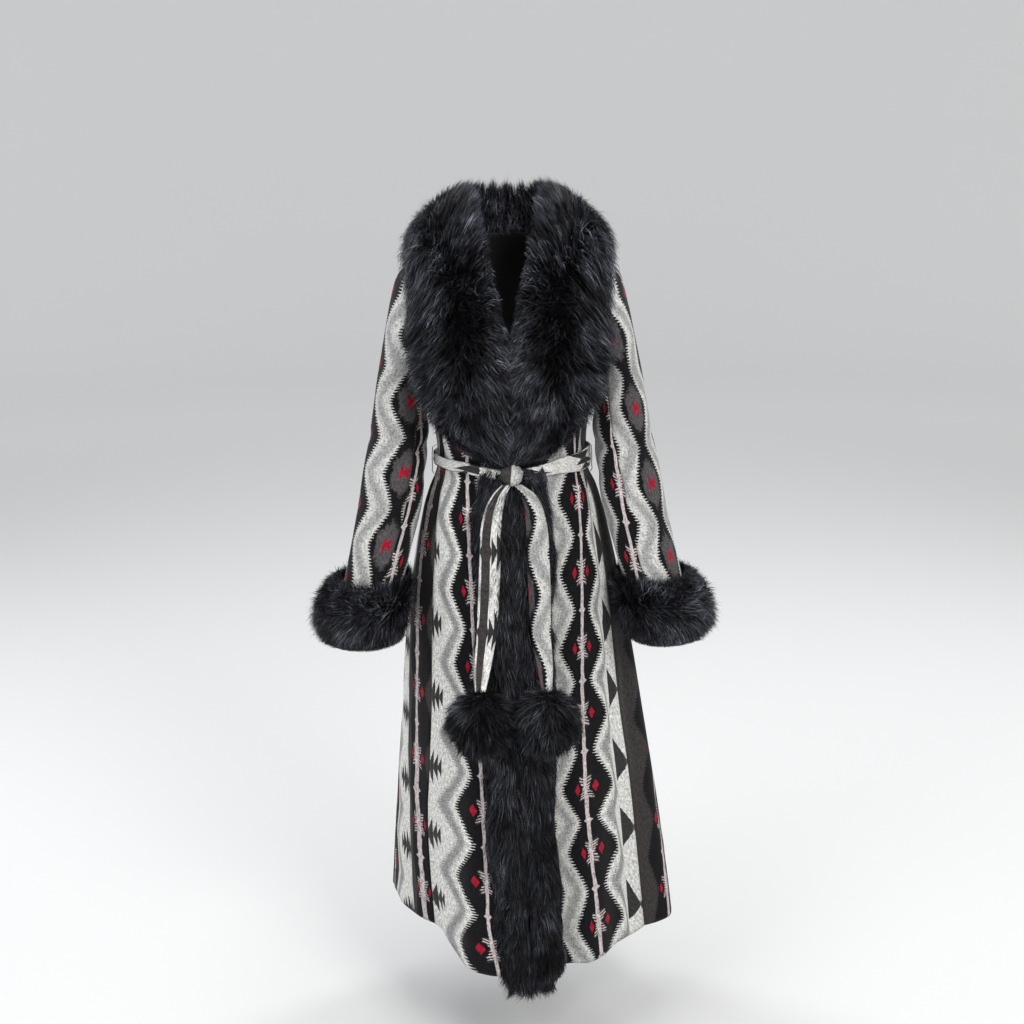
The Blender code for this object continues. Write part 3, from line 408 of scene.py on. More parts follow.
def belt_space(angle):
    """Space between the cloth and the belt's inner side, which is wider over the fur."""
    over_fur = 1 - fade(np.abs(degrees_apart(angle, 0.0)), 28, 44)
    return LIFT + 0.0004 + (BELT_OVER_FUR - LIFT) * over_fur


def belt_waist(angle):
    """The waist line that the belt lies round: the widest radius within its height."""
    heights = WAIST_Z + np.linspace(-BELT_HALF_HEIGHT, BELT_HALF_HEIGHT, 5)
    return np.max([body_radius(angle, z) for z in heights], axis=0)


def knot_y():
    """Middle of the knot, which stands on the front of the belt."""
    belt_front = float(belt_waist(0.0) + belt_space(0.0)) + BELT_THICK * (1 + BELT_BUNCH) * 1.25
    return -(belt_front + KNOT_HALF[1] * (1 - KNOT_WAIST) + 1.5 * SEAM_GAP)


def tail_value(z, name):
    return float(table_at(TAIL, z, TAIL_COLUMNS.index(name)))


def tail_line(z, word):
    """Middle of a tail's inner side, which leaves the knot and lies on the fur below it."""
    fur = float(table_at(FRONT_FUR, z, 2))
    surface = float(body_radius(0.0, z)) + LIFT + max(fur, 0.010) + FUR_WAVE
    from_knot = float(fade(-z, -TAIL[0][0], -TAIL[0][0] + TAIL_BEND))
    y = (1 - from_knot) * (knot_y() + 0.5 * TAIL_THICK) - from_knot * (surface + tail_value(z, "stand_off"))
    return tail_value(z, word + "_x"), y


# Cloth pattern, in centimetres across and along the chart
PERIOD = 13.1  # length of one repeat
TOOTH = 0.52  # spacing of the teeth on an edge
SPINE_AT = 8.9  # where the knotted line lies, with the lozenge line at 0
STEP_AT = 19.0  # middle of the stepped diamonds
MIRROR_AT = 28.5  # the next knotted line, about which the chart is mirrored
LINE_HALF = 0.8  # the knotted line's own half width, which no chart stretches
STEP_BAND = (14.2, 22.6)  # the off-white band that holds the stepped diamonds
DARK_BAND_AT = 21.6  # inner edge of the dark band
NEXT_BLACK_AT = 25.4  # where the dark band meets the black beside the next line
ZIGZAG_POINT = 0.94  # how sharp the zigzag's corners are, where 1 is a ruled corner
CLUSTER_STEP = 0.1312  # metres between clusters, past the ends of a table of their heights

BLACK = (0.0065, 0.0065, 0.0075)
OFF_WHITE = (0.58, 0.575, 0.55)
MID_GREY = (0.165, 0.168, 0.170)
CHARCOAL = (0.030, 0.029, 0.030)
BROWN_GREY = (0.040, 0.035, 0.035)
LOZENGE = (0.066, 0.061, 0.063)
CRIMSON = (0.29, 0.008, 0.024)
SPINE = (0.52, 0.455, 0.45)

# Where the clusters of the knotted line lie, and how far that line is from the centre front
LEFT_CLUSTERS = (-0.322, -0.453, -0.582, -0.716, -0.835, -0.972, -1.091, -1.237)
RIGHT_CLUSTERS = (-0.354, -0.482, -0.609, -0.742, -0.870, -0.999, -1.130, -1.255)
LEFT_SPINE = (
    (-1.30, 14.6), (-1.23, 13.9), (-1.095, 12.6), (-0.97, 11.8), (-0.80, 12.0), (-0.52, 12.7), (-0.30, 12.4),
)
RIGHT_SPINE = ((-1.30, 5.6), (-1.20, 7.2), (-0.90, 7.3), (-0.55, 7.8), (-0.30, 8.0))
# Chart value at the front seam, so that the stretch between line and seam is as wide as it shows
LEFT_SEAM_CHART = ((-1.30, 19.3), (-1.00, 19.1), (-0.62, 19.0), (-0.45, 18.4), (-0.39, 17.8), (-0.20, 17.4))
RIGHT_SEAM_CHART = ((-1.30, 19.1), (-0.80, 19.0), (-0.60, 18.0), (-0.45, 16.5), (-0.39, 15.0), (-0.20, 14.0))
# How far the weave hangs lower at the side seam than at the knotted line, in centimetres
LEFT_DROP = ((-1.22, 8.4), (-1.06, 6.4), (-0.93, 5.2), (-0.80, 4.4), (-0.66, 3.8), (-0.39, 2.8))
RIGHT_DROP = ((-1.22, 5.4), (-1.06, 3.8), (-0.93, 2.2), (-0.80, 0.9), (-0.66, 0.3), (-0.39, 0.0))
FRONT_CHART = {
    -1: (RIGHT_SPINE, RIGHT_SEAM_CHART, RIGHT_DROP, RIGHT_CLUSTERS),
    1: (LEFT_SPINE, LEFT_SEAM_CHART, LEFT_DROP, LEFT_CLUSTERS),
}
# The stepped figure: for each column its inner edge, outer edge, and half heights there
WIDE_STEPS = ((0.0, 1.0, 0.9, 3.3), (1.0, 2.05, 0.35, 2.6), (2.05, 2.85, 0.30, 1.75))
ONE_STEP = ((0.0, 2.0, 0.40, 4.2),)
SIDE_CLUSTERS = (-0.408, -0.542, -0.680, -0.820, -0.957, -1.097, -1.240)
# The side panels: how far their knotted line is from the front seam, in centimetres
SIDE_RIGHT_SPINE = (
    (-1.30, 2.4), (-1.10, 2.8), (-0.96, 4.8), (-0.84, 5.5), (-0.66, 4.8), (-0.54, 4.0), (-0.42, 3.2),
    (-0.30, 3.2),
)
SIDE_LEFT_SPINE = (
    (-1.30, 6.0), (-1.20, 6.4), (-1.10, 7.4), (-0.95, 9.6), (-0.80, 10.4), (-0.60, 9.8), (-0.30, 8.4),
)
SIDE_EDGE_CHART = 21.7  # chart value at the left side's front seam
SIDE_LINE_HALF = 1.2  # within this of the line, the chart runs half as fast

# How finely the dressed pieces are divided
CLOTH_STEP, SLEEVE_STEP = 0.0085, 0.0080  # height of a row
FRONT_COLUMNS, SIDE_COLUMNS, BACK_COLUMNS = 34, 24, 64

# Seams draw the cloth in
PINCH_DEPTH, PINCH_REACH = 0.0013, 0.0035
RIDGE_MOST = 0.0012  # highest ridge beside a crease on the body
SLEEVE_RIDGE_MOST = 0.0015
SLEEVE_ROUND = 0.062  # a sleeve's usual radius


class Wave:
    """A socket in a material that plain arithmetic works on, through Math nodes."""

    tree = None

    def __init__(self, socket):
        self.socket = socket

    @staticmethod
    def node(kind, *values, clamp=False):
        made = Wave.tree.nodes.new("ShaderNodeMath")
        made.operation = kind
        made.use_clamp = clamp
        for socket, value in zip(made.inputs, values):
            if isinstance(value, Wave):
                Wave.tree.links.new(value.socket, socket)
            else:
                socket.default_value = float(value)
        return Wave(made.outputs[0])

    def __add__(self, other):
        return Wave.node("ADD", self, other)

    def __radd__(self, other):
        return Wave.node("ADD", other, self)

    def __sub__(self, other):
        return Wave.node("SUBTRACT", self, other)

    def __rsub__(self, other):
        return Wave.node("SUBTRACT", other, self)

    def __mul__(self, other):
        return Wave.node("MULTIPLY", self, other)

    def __rmul__(self, other):
        return Wave.node("MULTIPLY", other, self)

    def __truediv__(self, other):
        return Wave.node("DIVIDE", self, other)

    def __pow__(self, other):
        return Wave.node("POWER", self, other)

    def size(self):
        return Wave.node("ABSOLUTE", self)

    def cosine(self):
        return Wave.node("COSINE", self)

    def least(self, other):
        return Wave.node("MINIMUM", self, other)

    def most(self, other):
        return Wave.node("MAXIMUM", self, other)

    def past(self, blur=0.07):
        """0 below zero and 1 above it, with a thin soft run."""
        return Wave.node("MULTIPLY_ADD", self, 1.0 / blur, 0.5, clamp=True)

    def repeat(self, length):
        """Distance from the nearest whole multiple of a length, with its sign."""
        half = 0.5 * length
        return Wave.node("FLOORED_MODULO", self + half, length) - half


def link(start, end):
    Wave.tree.links.new(start, end)


def mix_colour(factor, low, high):
    made = Wave.tree.nodes.new("ShaderNodeMix")
    made.data_type = "RGBA"
    made.clamp_factor = True
    link(factor.socket, made.inputs["Factor"])
    for name, value in (("A", low), ("B", high)):
        socket = [s for s in made.inputs if s.name == name and s.type == "RGBA"][0]
        if isinstance(value, tuple):
            socket.default_value = (*value, 1.0)
        else:
            link(value, socket)
    return [s for s in made.outputs if s.type == "RGBA"][0]


def object_place():
    """Socket of the object's own coordinates."""
    return Wave.tree.nodes.new("ShaderNodeTexCoord").outputs["Object"]


def texture(kind, place, **settings):
    made = Wave.tree.nodes.new(kind)
    for name, value in settings.items():
        made.inputs[name].default_value = value
    link(place, made.inputs["Vector"])
    return made


def noise(across, along, scale, detail=2.0, seed=0.0):
    """Noise over the cloth, about 0.5 on average."""
    join = Wave.tree.nodes.new("ShaderNodeCombineXYZ")
    for socket, value in zip(join.inputs, (across, along)):
        link(value.socket, socket)
    join.inputs[2].default_value = seed
    return Wave(texture("ShaderNodeTexNoise", join.outputs[0], Scale=scale, Detail=detail).outputs["Fac"])


def new_material(name, colour, roughness, specular=0.5):
    made = bpy.data.materials.new(name)
    made.use_nodes = True
    shader = made.node_tree.nodes["Principled BSDF"]
    shader.inputs["Base Color"].default_value = (*colour, 1.0)
    shader.inputs["Roughness"].default_value = roughness
    shader.inputs["Specular IOR Level"].default_value = specular
    Wave.tree = made.node_tree
    return made, shader


def chart_axes():
    """The cloth's chart coordinates, in centimetres."""
    place = Wave.tree.nodes.new("ShaderNodeUVMap")
    place.uv_map = "chart"
    split = Wave.tree.nodes.new("ShaderNodeSeparateXYZ")
    link(place.outputs[0], split.inputs[0])
    return Wave(split.outputs[0]) * 100.0, Wave(split.outputs[1]) * 100.0


def bump(shader, height, depth, strength=1.0):
    made = Wave.tree.nodes.new("ShaderNodeBump")
    made.inputs["Strength"].default_value = strength
    made.inputs["Distance"].default_value = depth
    link(height.socket, made.inputs["Height"])
    link(made.outputs[0], shader.inputs["Normal"])


def stepped_figures(off_middle, row, ragged, columns):
    """Stepped diamonds, whose half height runs from low to high across each column."""
    steps = None
    for start, stop, low, high in columns:
        slope = low + (off_middle - start) * ((high - low) / (stop - start)) + 0.5 * (ragged - 0.5)
        spike = (slope - row).past(0.10) * (off_middle - start).past(0.04)
        spike = spike * (1.0 - (off_middle - stop).past(0.04))
        steps = spike if steps is None else steps.most(spike)
    return steps


def knotted_line(across, along, beside, half_row, ragged):
    """The knotted line with its barbs, then the crimson lozenges beside it."""
    thorny = noise(across, along, 2.4, 1.0, 13.0)
    half_width = 0.26 + 0.10 * noise(across, along, 1.2, 1.0, 9.0)
    far = along.repeat(PERIOD).size()
    knot = (0.72 - beside - 0.9 * half_row).past()
    barb_length = 0.50 + 0.45 * (far - 0.9).past(0.8) + 0.75 * (thorny - 0.35)
    swept = far - 0.42 * beside + 0.30 * (ragged - 0.5)
    barb = (0.13 - swept.repeat(TOOTH).size()).past(0.08) * (barb_length - beside).past(0.2)
    barb = barb * (1.95 - swept).past()
    line = (half_width - beside).past().most(knot).most(barb) * (0.30 + 1.25 * thorny).least(1.0)
    crimson = 1.0 - (beside - 1.55).size() * (1 / 0.50) - far * (1 / 1.15) + 0.25 * (ragged - 0.5)
    return line, crimson.past(0.12)


def grey_lozenges(across, along, folded, half_row, ragged):
    """The grey lozenges of the line at 0, then the crimson butterfly figure in each."""
    rough_edge = 0.45 * (noise(across, along, 2.6, 1.0, 11.0) - 0.5)
    lozenge = (1.16 - folded * (1 / 3.0) - half_row * (1 / 3.7)).least(1.78 - folded)
    lozenge = (lozenge + 1.5 * rough_edge).past(0.30)
    wings = 0.37 - 0.20 * half_row - (folded - 0.38 - 0.17 * half_row).size() + 0.4 * (ragged - 0.5)
    middle = (0.50 - half_row - 0.3 * folded + 0.3 * (ragged - 0.5)).past(0.10) * (0.60 - folded).past()
    return lozenge, (wings.past(0.10) * (1.25 - half_row).past()).most(middle)


def patterned_wool(name, columns=WIDE_STEPS):
    """Napped wool with the woven zigzag stripes, and stepped figures of the given columns."""
    made, shader = new_material(name, MID_GREY, 0.93, 0.08)
    shader.inputs["Sheen Weight"].default_value = 0.05
    shader.inputs["Sheen Roughness"].default_value = 0.5
    across, along = chart_axes()
    # the weave wanders a little, so no edge is ruled
    across = across + 0.35 * (noise(across, along, 0.35, 1.0, 3.0) - 0.5)
    folded = across.repeat(2 * MIRROR_AT).size()
    beside = (folded - SPINE_AT).size().least((MIRROR_AT - folded).size())
    half_row = (along + 0.5 * PERIOD).repeat(PERIOD).size()
    turned = (along * (2 * math.pi / PERIOD)).cosine()
    zigzag = Wave.node("ARCSINE", ZIGZAG_POINT * turned) * (1 / math.asin(ZIGZAG_POINT))
    ragged = noise(across, along, 1.9, 1.0, 7.0)
    tooth_wave = 0.5 + 0.5 * ((along + 0.22 * ragged) * (2 * math.pi / TOOTH)).cosine()
    tooth = (0.30 + 0.70 * ragged) * (tooth_wave ** 2.0)

    # light ribbons on both sides of the knotted line
    edge = beside - (3.25 + 1.30 * zigzag)
    edge_out = folded - (2.15 - 0.95 * zigzag)
    ribbon = (edge + tooth).past() * (edge_out + 0.8 * tooth).past()
    inner_side = (SPINE_AT - folded).past(0.2)

    # shades inside the ribbon: white along its edges and greyer between
    wave_grey = edge - 1.25 - 0.20 * zigzag
    serration = 0.75 * ragged * tooth_wave
    grey_stop = (wave_grey - 1.35 - 0.25 * zigzag - serration).past(0.9)
    grey_in = (wave_grey + serration).past(0.75) * (1.0 - grey_stop)
    grey_in = grey_in * (0.80 - 0.35 * inner_side)
    soft = noise(across, along, 0.6, 2.0, 5.0)
    greyed = ribbon * (grey_in + 0.5 * inner_side * (0.35 + 0.5 * soft))

    # stepped diamonds on the off-white band
    steps = stepped_figures((folded - STEP_AT).size(), half_row, ragged, columns)
    steps = steps * ((folded - STEP_BAND[0]).past() * (1.0 - (folded - STEP_BAND[1]).past()))

    # dark band with a faint toothed wave, between the off-white band and the next line
    dark_band = (folded - DARK_BAND_AT).past(0.1)
    next_black = (folded - NEXT_BLACK_AT - 0.9 * zigzag + 0.8 * ragged * tooth_wave).past(0.45)

    line, crimson = knotted_line(across, along, beside, half_row, ragged)
    lozenge, figure = grey_lozenges(across, along, folded, half_row, ragged)
    colour = mix_colour(ribbon, BLACK, OFF_WHITE)
    for factor, shade in (
        (greyed, MID_GREY), (steps, CHARCOAL), (dark_band, BROWN_GREY), (next_black, BLACK),
        (lozenge, LOZENGE), (figure, CRIMSON), (crimson, CRIMSON), (line, SPINE),
    ):
        colour = mix_colour(factor, colour, shade)

    # heathered nap: fibres of both shades show through each other
    fine = noise(across, along * 0.55, 9.0, 3.0, 1.0)
    streak = noise(across, along * 0.30, 4.0, 2.0, 2.0)
    speck = noise(across, along * 0.7, 2.8, 2.0, 21.0)
    flecks = (fine - 0.5) * 1.9 + (streak - 0.5) * 1.4 + (speck - 0.5) * 1.1
    scaled = Wave.tree.nodes.new("ShaderNodeVectorMath")
    scaled.operation = "SCALE"
    link(colour, scaled.inputs[0])
    link((1.0 + flecks).most(0.12).socket, scaled.inputs["Scale"])
    link(scaled.outputs[0], shader.inputs["Base Color"])
    bump(shader, fine * 0.6 + streak * 0.4, 0.0006, 0.7)
    return made


def plain_wool(name, colour):
    """The reverse of the cloth: the same nap without the pattern."""
    made, shader = new_material(name, colour, 0.95)
    across, along = chart_axes()
    fine = noise(across, along * 0.5, 8.0, 3.0, 4.0)
    level = Wave.node("MULTIPLY_ADD", fine, 1.6, -0.3, clamp=True)
    dark, light = (tuple(gain * shade for shade in colour) for gain in (0.45, 1.5))
    link(mix_colour(level, dark, light), shader.inputs["Base Color"])
    bump(shader, fine, 0.0006, 0.6)
    return made


def fur_material(name):
    """Long guard hairs, with light and shade painted into their colour: black at the root, painted shade in
    the hollows of the pelt, and a cool painted highlight on the tips in lit patches.
    Their chart holds each hair's tone, which picks the hairs that carry the painted highlight, and the way
    from its root to its tip."""
    made, shader = new_material(name, (0.008, 0.008, 0.011), 0.34, 0.12)
    tone, along = chart_axes()
    split = Wave.tree.nodes.new("ShaderNodeSeparateXYZ")
    link(object_place(), split.inputs[0])
    x, y, z = (Wave(socket) for socket in split.outputs)
    # painted highlight: patches of noise over the pelt stand in for the crests that catch the light
    crest = 0.7 * noise(x, z, 13.0, 2.0, 4.0) + 0.3 * noise(x, z, 42.0, 1.0, 8.0)
    crest = (crest - 0.50).past(0.26)
    # painted shade: the parting of each lapel turns its hair away from the light, so there the fur is painted
    # darker
    parting = 1.25 - ((x.size() - 0.072) / 0.038) ** 2.0 - ((z + 0.155) / 0.085) ** 2.0
    parting = parting.past(1.4) * (0.02 - y).past(0.02)
    # painted shade: the narrow strip between the fronts is shaded by the belt ends, so it is painted darker
    strip = (0.10 - x.size()).past(0.02) * (-0.44 - z).past(0.08)
    # the painted light of the pelt: its highlight patches, dimmed by the painted shade of the partings and of
    # the strip
    painted_light = (0.12 + 0.88 * crest) * (1.0 - 0.90 * parting) * (1.0 - 0.45 * strip)
    # the painted highlight grows towards each hair's tip and shows mostly on the few hairs of high tone
    shade = (along * CM) ** 1.1 * (0.015 + 0.985 * (tone * CM) ** 4.6) * painted_light
    # from black to a cool painted highlight, in the base colour
    link(mix_colour(shade, (0.0006, 0.0006, 0.0009), (0.66, 0.70, 0.86)), shader.inputs["Base Color"])
    return made


def grained(shader, level, low, high, depth, strength):
    """Gives a material two shades and a relief, both by the same level."""
    link(mix_colour(level, low, high), shader.inputs["Base Color"])
    bump(shader, level, depth, strength)


def under_material(name):
    """The dense dark undercoat, seen between the hairs."""
    made, shader = new_material(name, (0.004, 0.004, 0.005), 0.9, 0.06)
    grain = texture("ShaderNodeTexNoise", object_place(), Scale=420.0, Detail=3.0)
    grained(shader, Wave(grain.outputs["Fac"]), (0.0015, 0.0015, 0.002), (0.006, 0.006, 0.009), 0.003, 1.0)
    return made


def thread_material(name):
    """Dark plied thread."""
    made, shader = new_material(name, (0.02, 0.02, 0.02), 0.75)
    twist = texture("ShaderNodeTexWave", object_place(), Scale=500.0)
    twist.bands_direction = "DIAGONAL"
    grained(shader, Wave(twist.outputs["Fac"]), (0.012, 0.012, 0.013), (0.055, 0.055, 0.058), 0.0004, 0.8)
    return made


def mesh_piece(name, points, faces, materials, slots=None, chart=None):
    """A smooth mesh object. faces is an array of triangles or quads, chart gives UV values for each point."""
    faces = np.asarray(faces, np.int64)
    mesh = bpy.data.meshes.new(name)
    points = np.ascontiguousarray(np.asarray(points, np.float32).reshape(-1, 3))
    mesh.vertices.add(len(points))
    mesh.vertices.foreach_set("co", points.ravel())
    sides = faces.shape[1]
    mesh.loops.add(faces.size)
    mesh.loops.foreach_set("vertex_index", faces.ravel().astype(np.int32))
    mesh.polygons.add(len(faces))
    mesh.polygons.foreach_set("loop_start", (np.arange(len(faces)) * sides).astype(np.int32))
    for finish in materials:
        mesh.materials.append(finish)
    if slots is not None:
        mesh.polygons.foreach_set("material_index", np.asarray(slots, np.int32))
    mesh.polygons.foreach_set("use_smooth", np.full(len(faces), True))
    if chart is not None:
        layer = mesh.uv_layers.new(name="chart")
        values = np.asarray(chart, np.float32).reshape(-1, 2)[faces.ravel()]
        layer.data.foreach_set("uv", np.ascontiguousarray(values, np.float32).ravel())
    mesh.update(calc_edges=True)
    mesh.validate()
    made = bpy.data.objects.new(name, mesh)
    bpy.context.scene.collection.objects.link(made)
    return made


def shell(name, outer, normals, thickness, chart, finish, reverse):
    """A closed sheet of cloth: its outer grid, the same moved in, and a rim of small faces."""
    rows, columns = outer.shape[:2]
    inner = outer - normals * thickness
    count = rows * columns
    index = np.arange(count).reshape(rows, columns)
    a, b, c, d = index[:-1, :-1], index[:-1, 1:], index[1:, 1:], index[1:, :-1]
    front = np.stack([a, b, c, d], axis=-1).reshape(-1, 4)
    rim = np.concatenate([index[0, :], index[1:, -1], index[-1, -2::-1], index[-2:0:-1, 0]])
    after = np.roll(rim, -1)
    edge = np.stack([after, rim, count + rim, count + after], axis=-1)
    faces = np.concatenate([front, count + front[:, ::-1], edge])
    # the middle of the grid shows whether the faces look outwards
    i, j = rows // 2, columns // 2
    turned = np.cross(outer[i, j + 1] - outer[i, j], outer[i + 1, j] - outer[i, j])
    if float(np.dot(turned, normals[i, j])) < 0:
        faces = faces[:, ::-1]
    slots = np.concatenate([np.zeros(len(front)), np.ones(len(front)), np.ones(len(edge))])
    points = np.concatenate([outer.reshape(-1, 3), inner.reshape(-1, 3)])
    uv = np.concatenate([chart.reshape(-1, 2)] * 2) * CM
    return mesh_piece(name, points, faces, (finish, reverse), slots, uv)


def tube(name, sections, finish, chart=None, round_path=False):
    """A closed body swept through sections of equal point counts, with its chart in centimetres."""
    sections = np.asarray(sections, float)
    stations, ring = sections.shape[:2]
    index = np.arange(stations * ring).reshape(stations, ring)
    if round_path:
        index = np.concatenate([index, index[:1]])
    a, b = index[:-1], index[1:]
    faces = np.stack([a, np.roll(a, -1, 1), np.roll(b, -1, 1), b], axis=-1).reshape(-1, 4)
    points = sections.reshape(-1, 3)
    quads = [faces]
    if not round_path:
        half = ring // 2
        for row, turned in ((index[0], True), (index[-1], False)):
            cap = np.array([[row[k], row[k + 1], row[-k - 2], row[-k - 1]] for k in range(half - 1)])
            quads.append(cap[:, ::-1] if turned else cap)
    faces = np.concatenate(quads)
    a, b, c, d = (points[faces[:, k]] for k in range(4))
    volume = np.einsum("ij,ij->i", a, np.cross(b, c)).sum() + np.einsum("ij,ij->i", a, np.cross(c, d)).sum()
    if volume < 0:
        faces = faces[:, ::-1]
    uv = None if chart is None else np.array(chart).reshape(-1, 2) * CM
    return mesh_piece(name, points, faces, (finish,), None, uv)


# Creases of the body cloth, as soft troughs with a low ridge beside them. Angle and height of the
# middle, length, lean in degrees from upright, depth and half width in millimetres.
CREASES = (
    (24, -0.455, 0.080, 6, 2.6, 6), (38, -0.470, 0.115, -7, 3.4, 8), (52, -0.450, 0.075, 9, 2.8, 6),
    (66, -0.475, 0.130, -4, 3.8, 9), (84, -0.455, 0.090, 8, 3.0, 7), (101, -0.470, 0.120, -6, 3.6, 8),
    (-30, -0.460, 0.090, -7, 2.8, 7), (-44, -0.475, 0.120, 5, 3.6, 8), (-58, -0.450, 0.070, -8, 2.6, 6),
    (-71, -0.480, 0.140, 6, 3.8, 9), (-88, -0.455, 0.085, -6, 3.0, 7), (-106, -0.470, 0.110, 7, 3.4, 8),
    (34, -0.345, 0.070, 24, 2.8, 7), (50, -0.335, 0.085, 16, 3.2, 8), (68, -0.340, 0.070, 10, 3.0, 7),
    (-36, -0.345, 0.075, -22, 2.8, 7), (-54, -0.332, 0.090, -14, 3.4, 8), (-72, -0.345, 0.065, -8, 2.8, 7),
    (92, -0.335, 0.080, -12, 3.2, 8), (-95, -0.340, 0.085, 14, 3.2, 8), (120, -0.345, 0.075, -18, 3.0, 8),
    (146, -0.335, 0.095, -10, 3.4, 9), (171, -0.345, 0.070, 6, 2.6, 7), (-163, -0.340, 0.090, 12, 3.2, 8),
    (-137, -0.345, 0.080, 16, 3.0, 8), (-116, -0.335, 0.070, 20, 2.8, 7),
    (118, -0.465, 0.100, 5, 3.2, 8), (134, -0.480, 0.140, -5, 3.8, 9), (152, -0.455, 0.085, 7, 2.8, 7),
    (168, -0.475, 0.125, -3, 3.4, 8), (-174, -0.460, 0.095, 4, 3.0, 7), (-157, -0.485, 0.145, 6, 3.8, 9),
    (-140, -0.455, 0.080, -7, 2.8, 7), (-122, -0.475, 0.120, 4, 3.4, 8),
    (57, -0.640, 0.260, -5, 3.2, 13), (43, -0.900, 0.300, 3, 2.6, 15), (73, -0.850, 0.420, 3, 4.2, 16),
    (-51, -0.650, 0.270, 4, 3.2, 13), (-40, -0.960, 0.260, -4, 2.4, 14), (-78, -0.840, 0.380, -3, 4.0, 16),
    (104, -0.700, 0.340, 4, 3.6, 15), (-103, -0.740, 0.360, -4, 3.6, 15), (128, -0.880, 0.400, 3, 4.2, 17),
    (-127, -0.860, 0.420, -3, 4.2, 17), (154, -0.700, 0.300, -4, 3.4, 14), (-152, -0.760, 0.340, 4, 3.6, 15),
    (178, -0.900, 0.440, 2, 3.4, 16), (88, -1.120, 0.240, 3, 3.2, 14), (-90, -1.100, 0.240, -3, 3.0, 13),
    (150, -0.190, 0.120, 40, 3.0, 11), (-150, -0.185, 0.120, -40, 3.0, 11), (128, -0.240, 0.110, 32, 3.2, 10),
    (-128, -0.245, 0.110, -34, 3.2, 10), (57, -0.215, 0.070, 38, 2.4, 8), (-57, -0.215, 0.070, -38, 2.4, 8),
)


def crease(beside, along, half_length, half_width, depth, ridge, ridge_at):
    """Depth of one crease at each point, in metres: a soft trough and the ridge beside it."""
    share = np.clip(1 - (along / half_length) ** 2, 0, 1) ** 1.5
    w = half_width * MM
    profile = np.exp(-((beside / w) ** 2)) - ridge * np.exp(-(((beside - ridge_at * w) / (1.3 * w)) ** 2))
    return depth * MM * share * profile


def crease_depth(angle, z, radius):
    """How far the creases move the cloth in, in metres, at each point of a grid."""
    total = np.zeros_like(z)
    for middle, height, length, lean, depth, half_width in CREASES:
        off = np.radians(degrees_apart(angle, middle)) * radius
        up = z - height
        tilt = math.radians(lean)
        # each crease bends a little on its way, so none is a ruled line
        bend = 0.10 * up * np.sin(up / length * 5.0 + middle)
        beside = (off + bend) * math.cos(tilt) + up * math.sin(tilt)
        along = up * math.cos(tilt) - off * math.sin(tilt)
        total += crease(beside, along, 0.5 * length, half_width, depth, 0.38, 1.9)
    return total


def along_row(points):
    """Distance along each row of a grid from its first column, in centimetres."""
    steps = np.linalg.norm(np.diff(points, axis=1), axis=2)
    return np.concatenate([np.zeros((len(points), 1)), np.cumsum(steps, axis=1)], axis=1) * 100


def seam_pinch(points):
    """Distance of each point from the nearer end of its row, and how far the seam there draws it in."""
    width = along_row(points)
    edge = np.minimum(width, width[:, -1:] - width) * CM
    return edge, PINCH_DEPTH * np.exp(-((edge / PINCH_REACH) ** 2))


def repeats(z, clusters):
    """Chart distance along the cloth, with a whole repeat at each cluster's height."""
    heights = np.array(clusters)[::-1]
    order = np.arange(len(clusters))[::-1] * PERIOD
    inside = np.interp(z, heights, order)
    above = (clusters[0] - z) / CLUSTER_STEP * PERIOD
    below = (clusters[-1] - z) / CLUSTER_STEP * PERIOD + (len(clusters) - 1) * PERIOD
    return np.where(z > clusters[0], above, np.where(z < clusters[-1], below, inside))


def body_grid(rows, low_angle, high_angle, columns, side, armhole=False):
    """Outer points and outward directions of a body panel, as the solid has them but finer."""
    share = np.linspace(0, 1, columns + 1)[None, :]
    gap = np.degrees(0.5 * SEAM_GAP / body_radius(90.0 * side, rows))
    low, high = low_angle(rows) + gap, high_angle(rows) - gap
    angle = low[:, None] + (high - low)[:, None] * share
    z = np.broadcast_to(rows[:, None], angle.shape).copy()
    if armhole:
        dip = table_at(ARMHOLE_FLOOR, np.abs(angle - 90.0)) - SIDE_TOP_Z
        z = z + np.minimum(dip, 0) * fade(z, -0.345, SIDE_TOP_Z)
    angle = angle * side
    return angle, z, body_point(angle, z), body_normal(angle, z)


def cloth_rows(top, bottom, step):
    """Heights of a grid's rows, from its lower edge to its upper."""
    return np.linspace(bottom, top, int(round((top - bottom) / step)) + 1)


def creased(angle, z, points, normals):
    """Moves the cloth in along its creases and along its seams."""
    depth = crease_depth(angle, z, np.hypot(points[..., 0], points[..., 1]))
    # the ridge beside a crease stays low where fur or the belt lies on the cloth
    from_front = np.abs(degrees_apart(angle, 0.0))
    quiet = fade(np.abs(z - WAIST_Z), 0.018, 0.040) * fade(from_front, 18, 30)
    quiet = quiet * np.where(from_front < 62, fade(z, -0.150, -0.345), 1.0) * fade(z, -0.035, -0.110)
    _, pinch = seam_pinch(points)
    depth = np.maximum(depth, -RIDGE_MOST) * quiet + pinch
    return points - normals * depth[..., None]


# On the left front the off-white band beside the ribbon is nearly all hidden in the seam's shaping. Of the
# way from the knotted line to the seam: where that starts and how wide it is, then the same for the rest
HIDDEN_AT, HIDDEN_WIDE = 0.62, 0.04
REST_AT, REST_WIDE = 0.66, 0.34
RIBBON_RATE = 7.2  # chart distance for the whole of that way, up to the hidden band
HIDDEN_FROM, HIDDEN_TO = 13.36, 17.0  # its edges on the chart


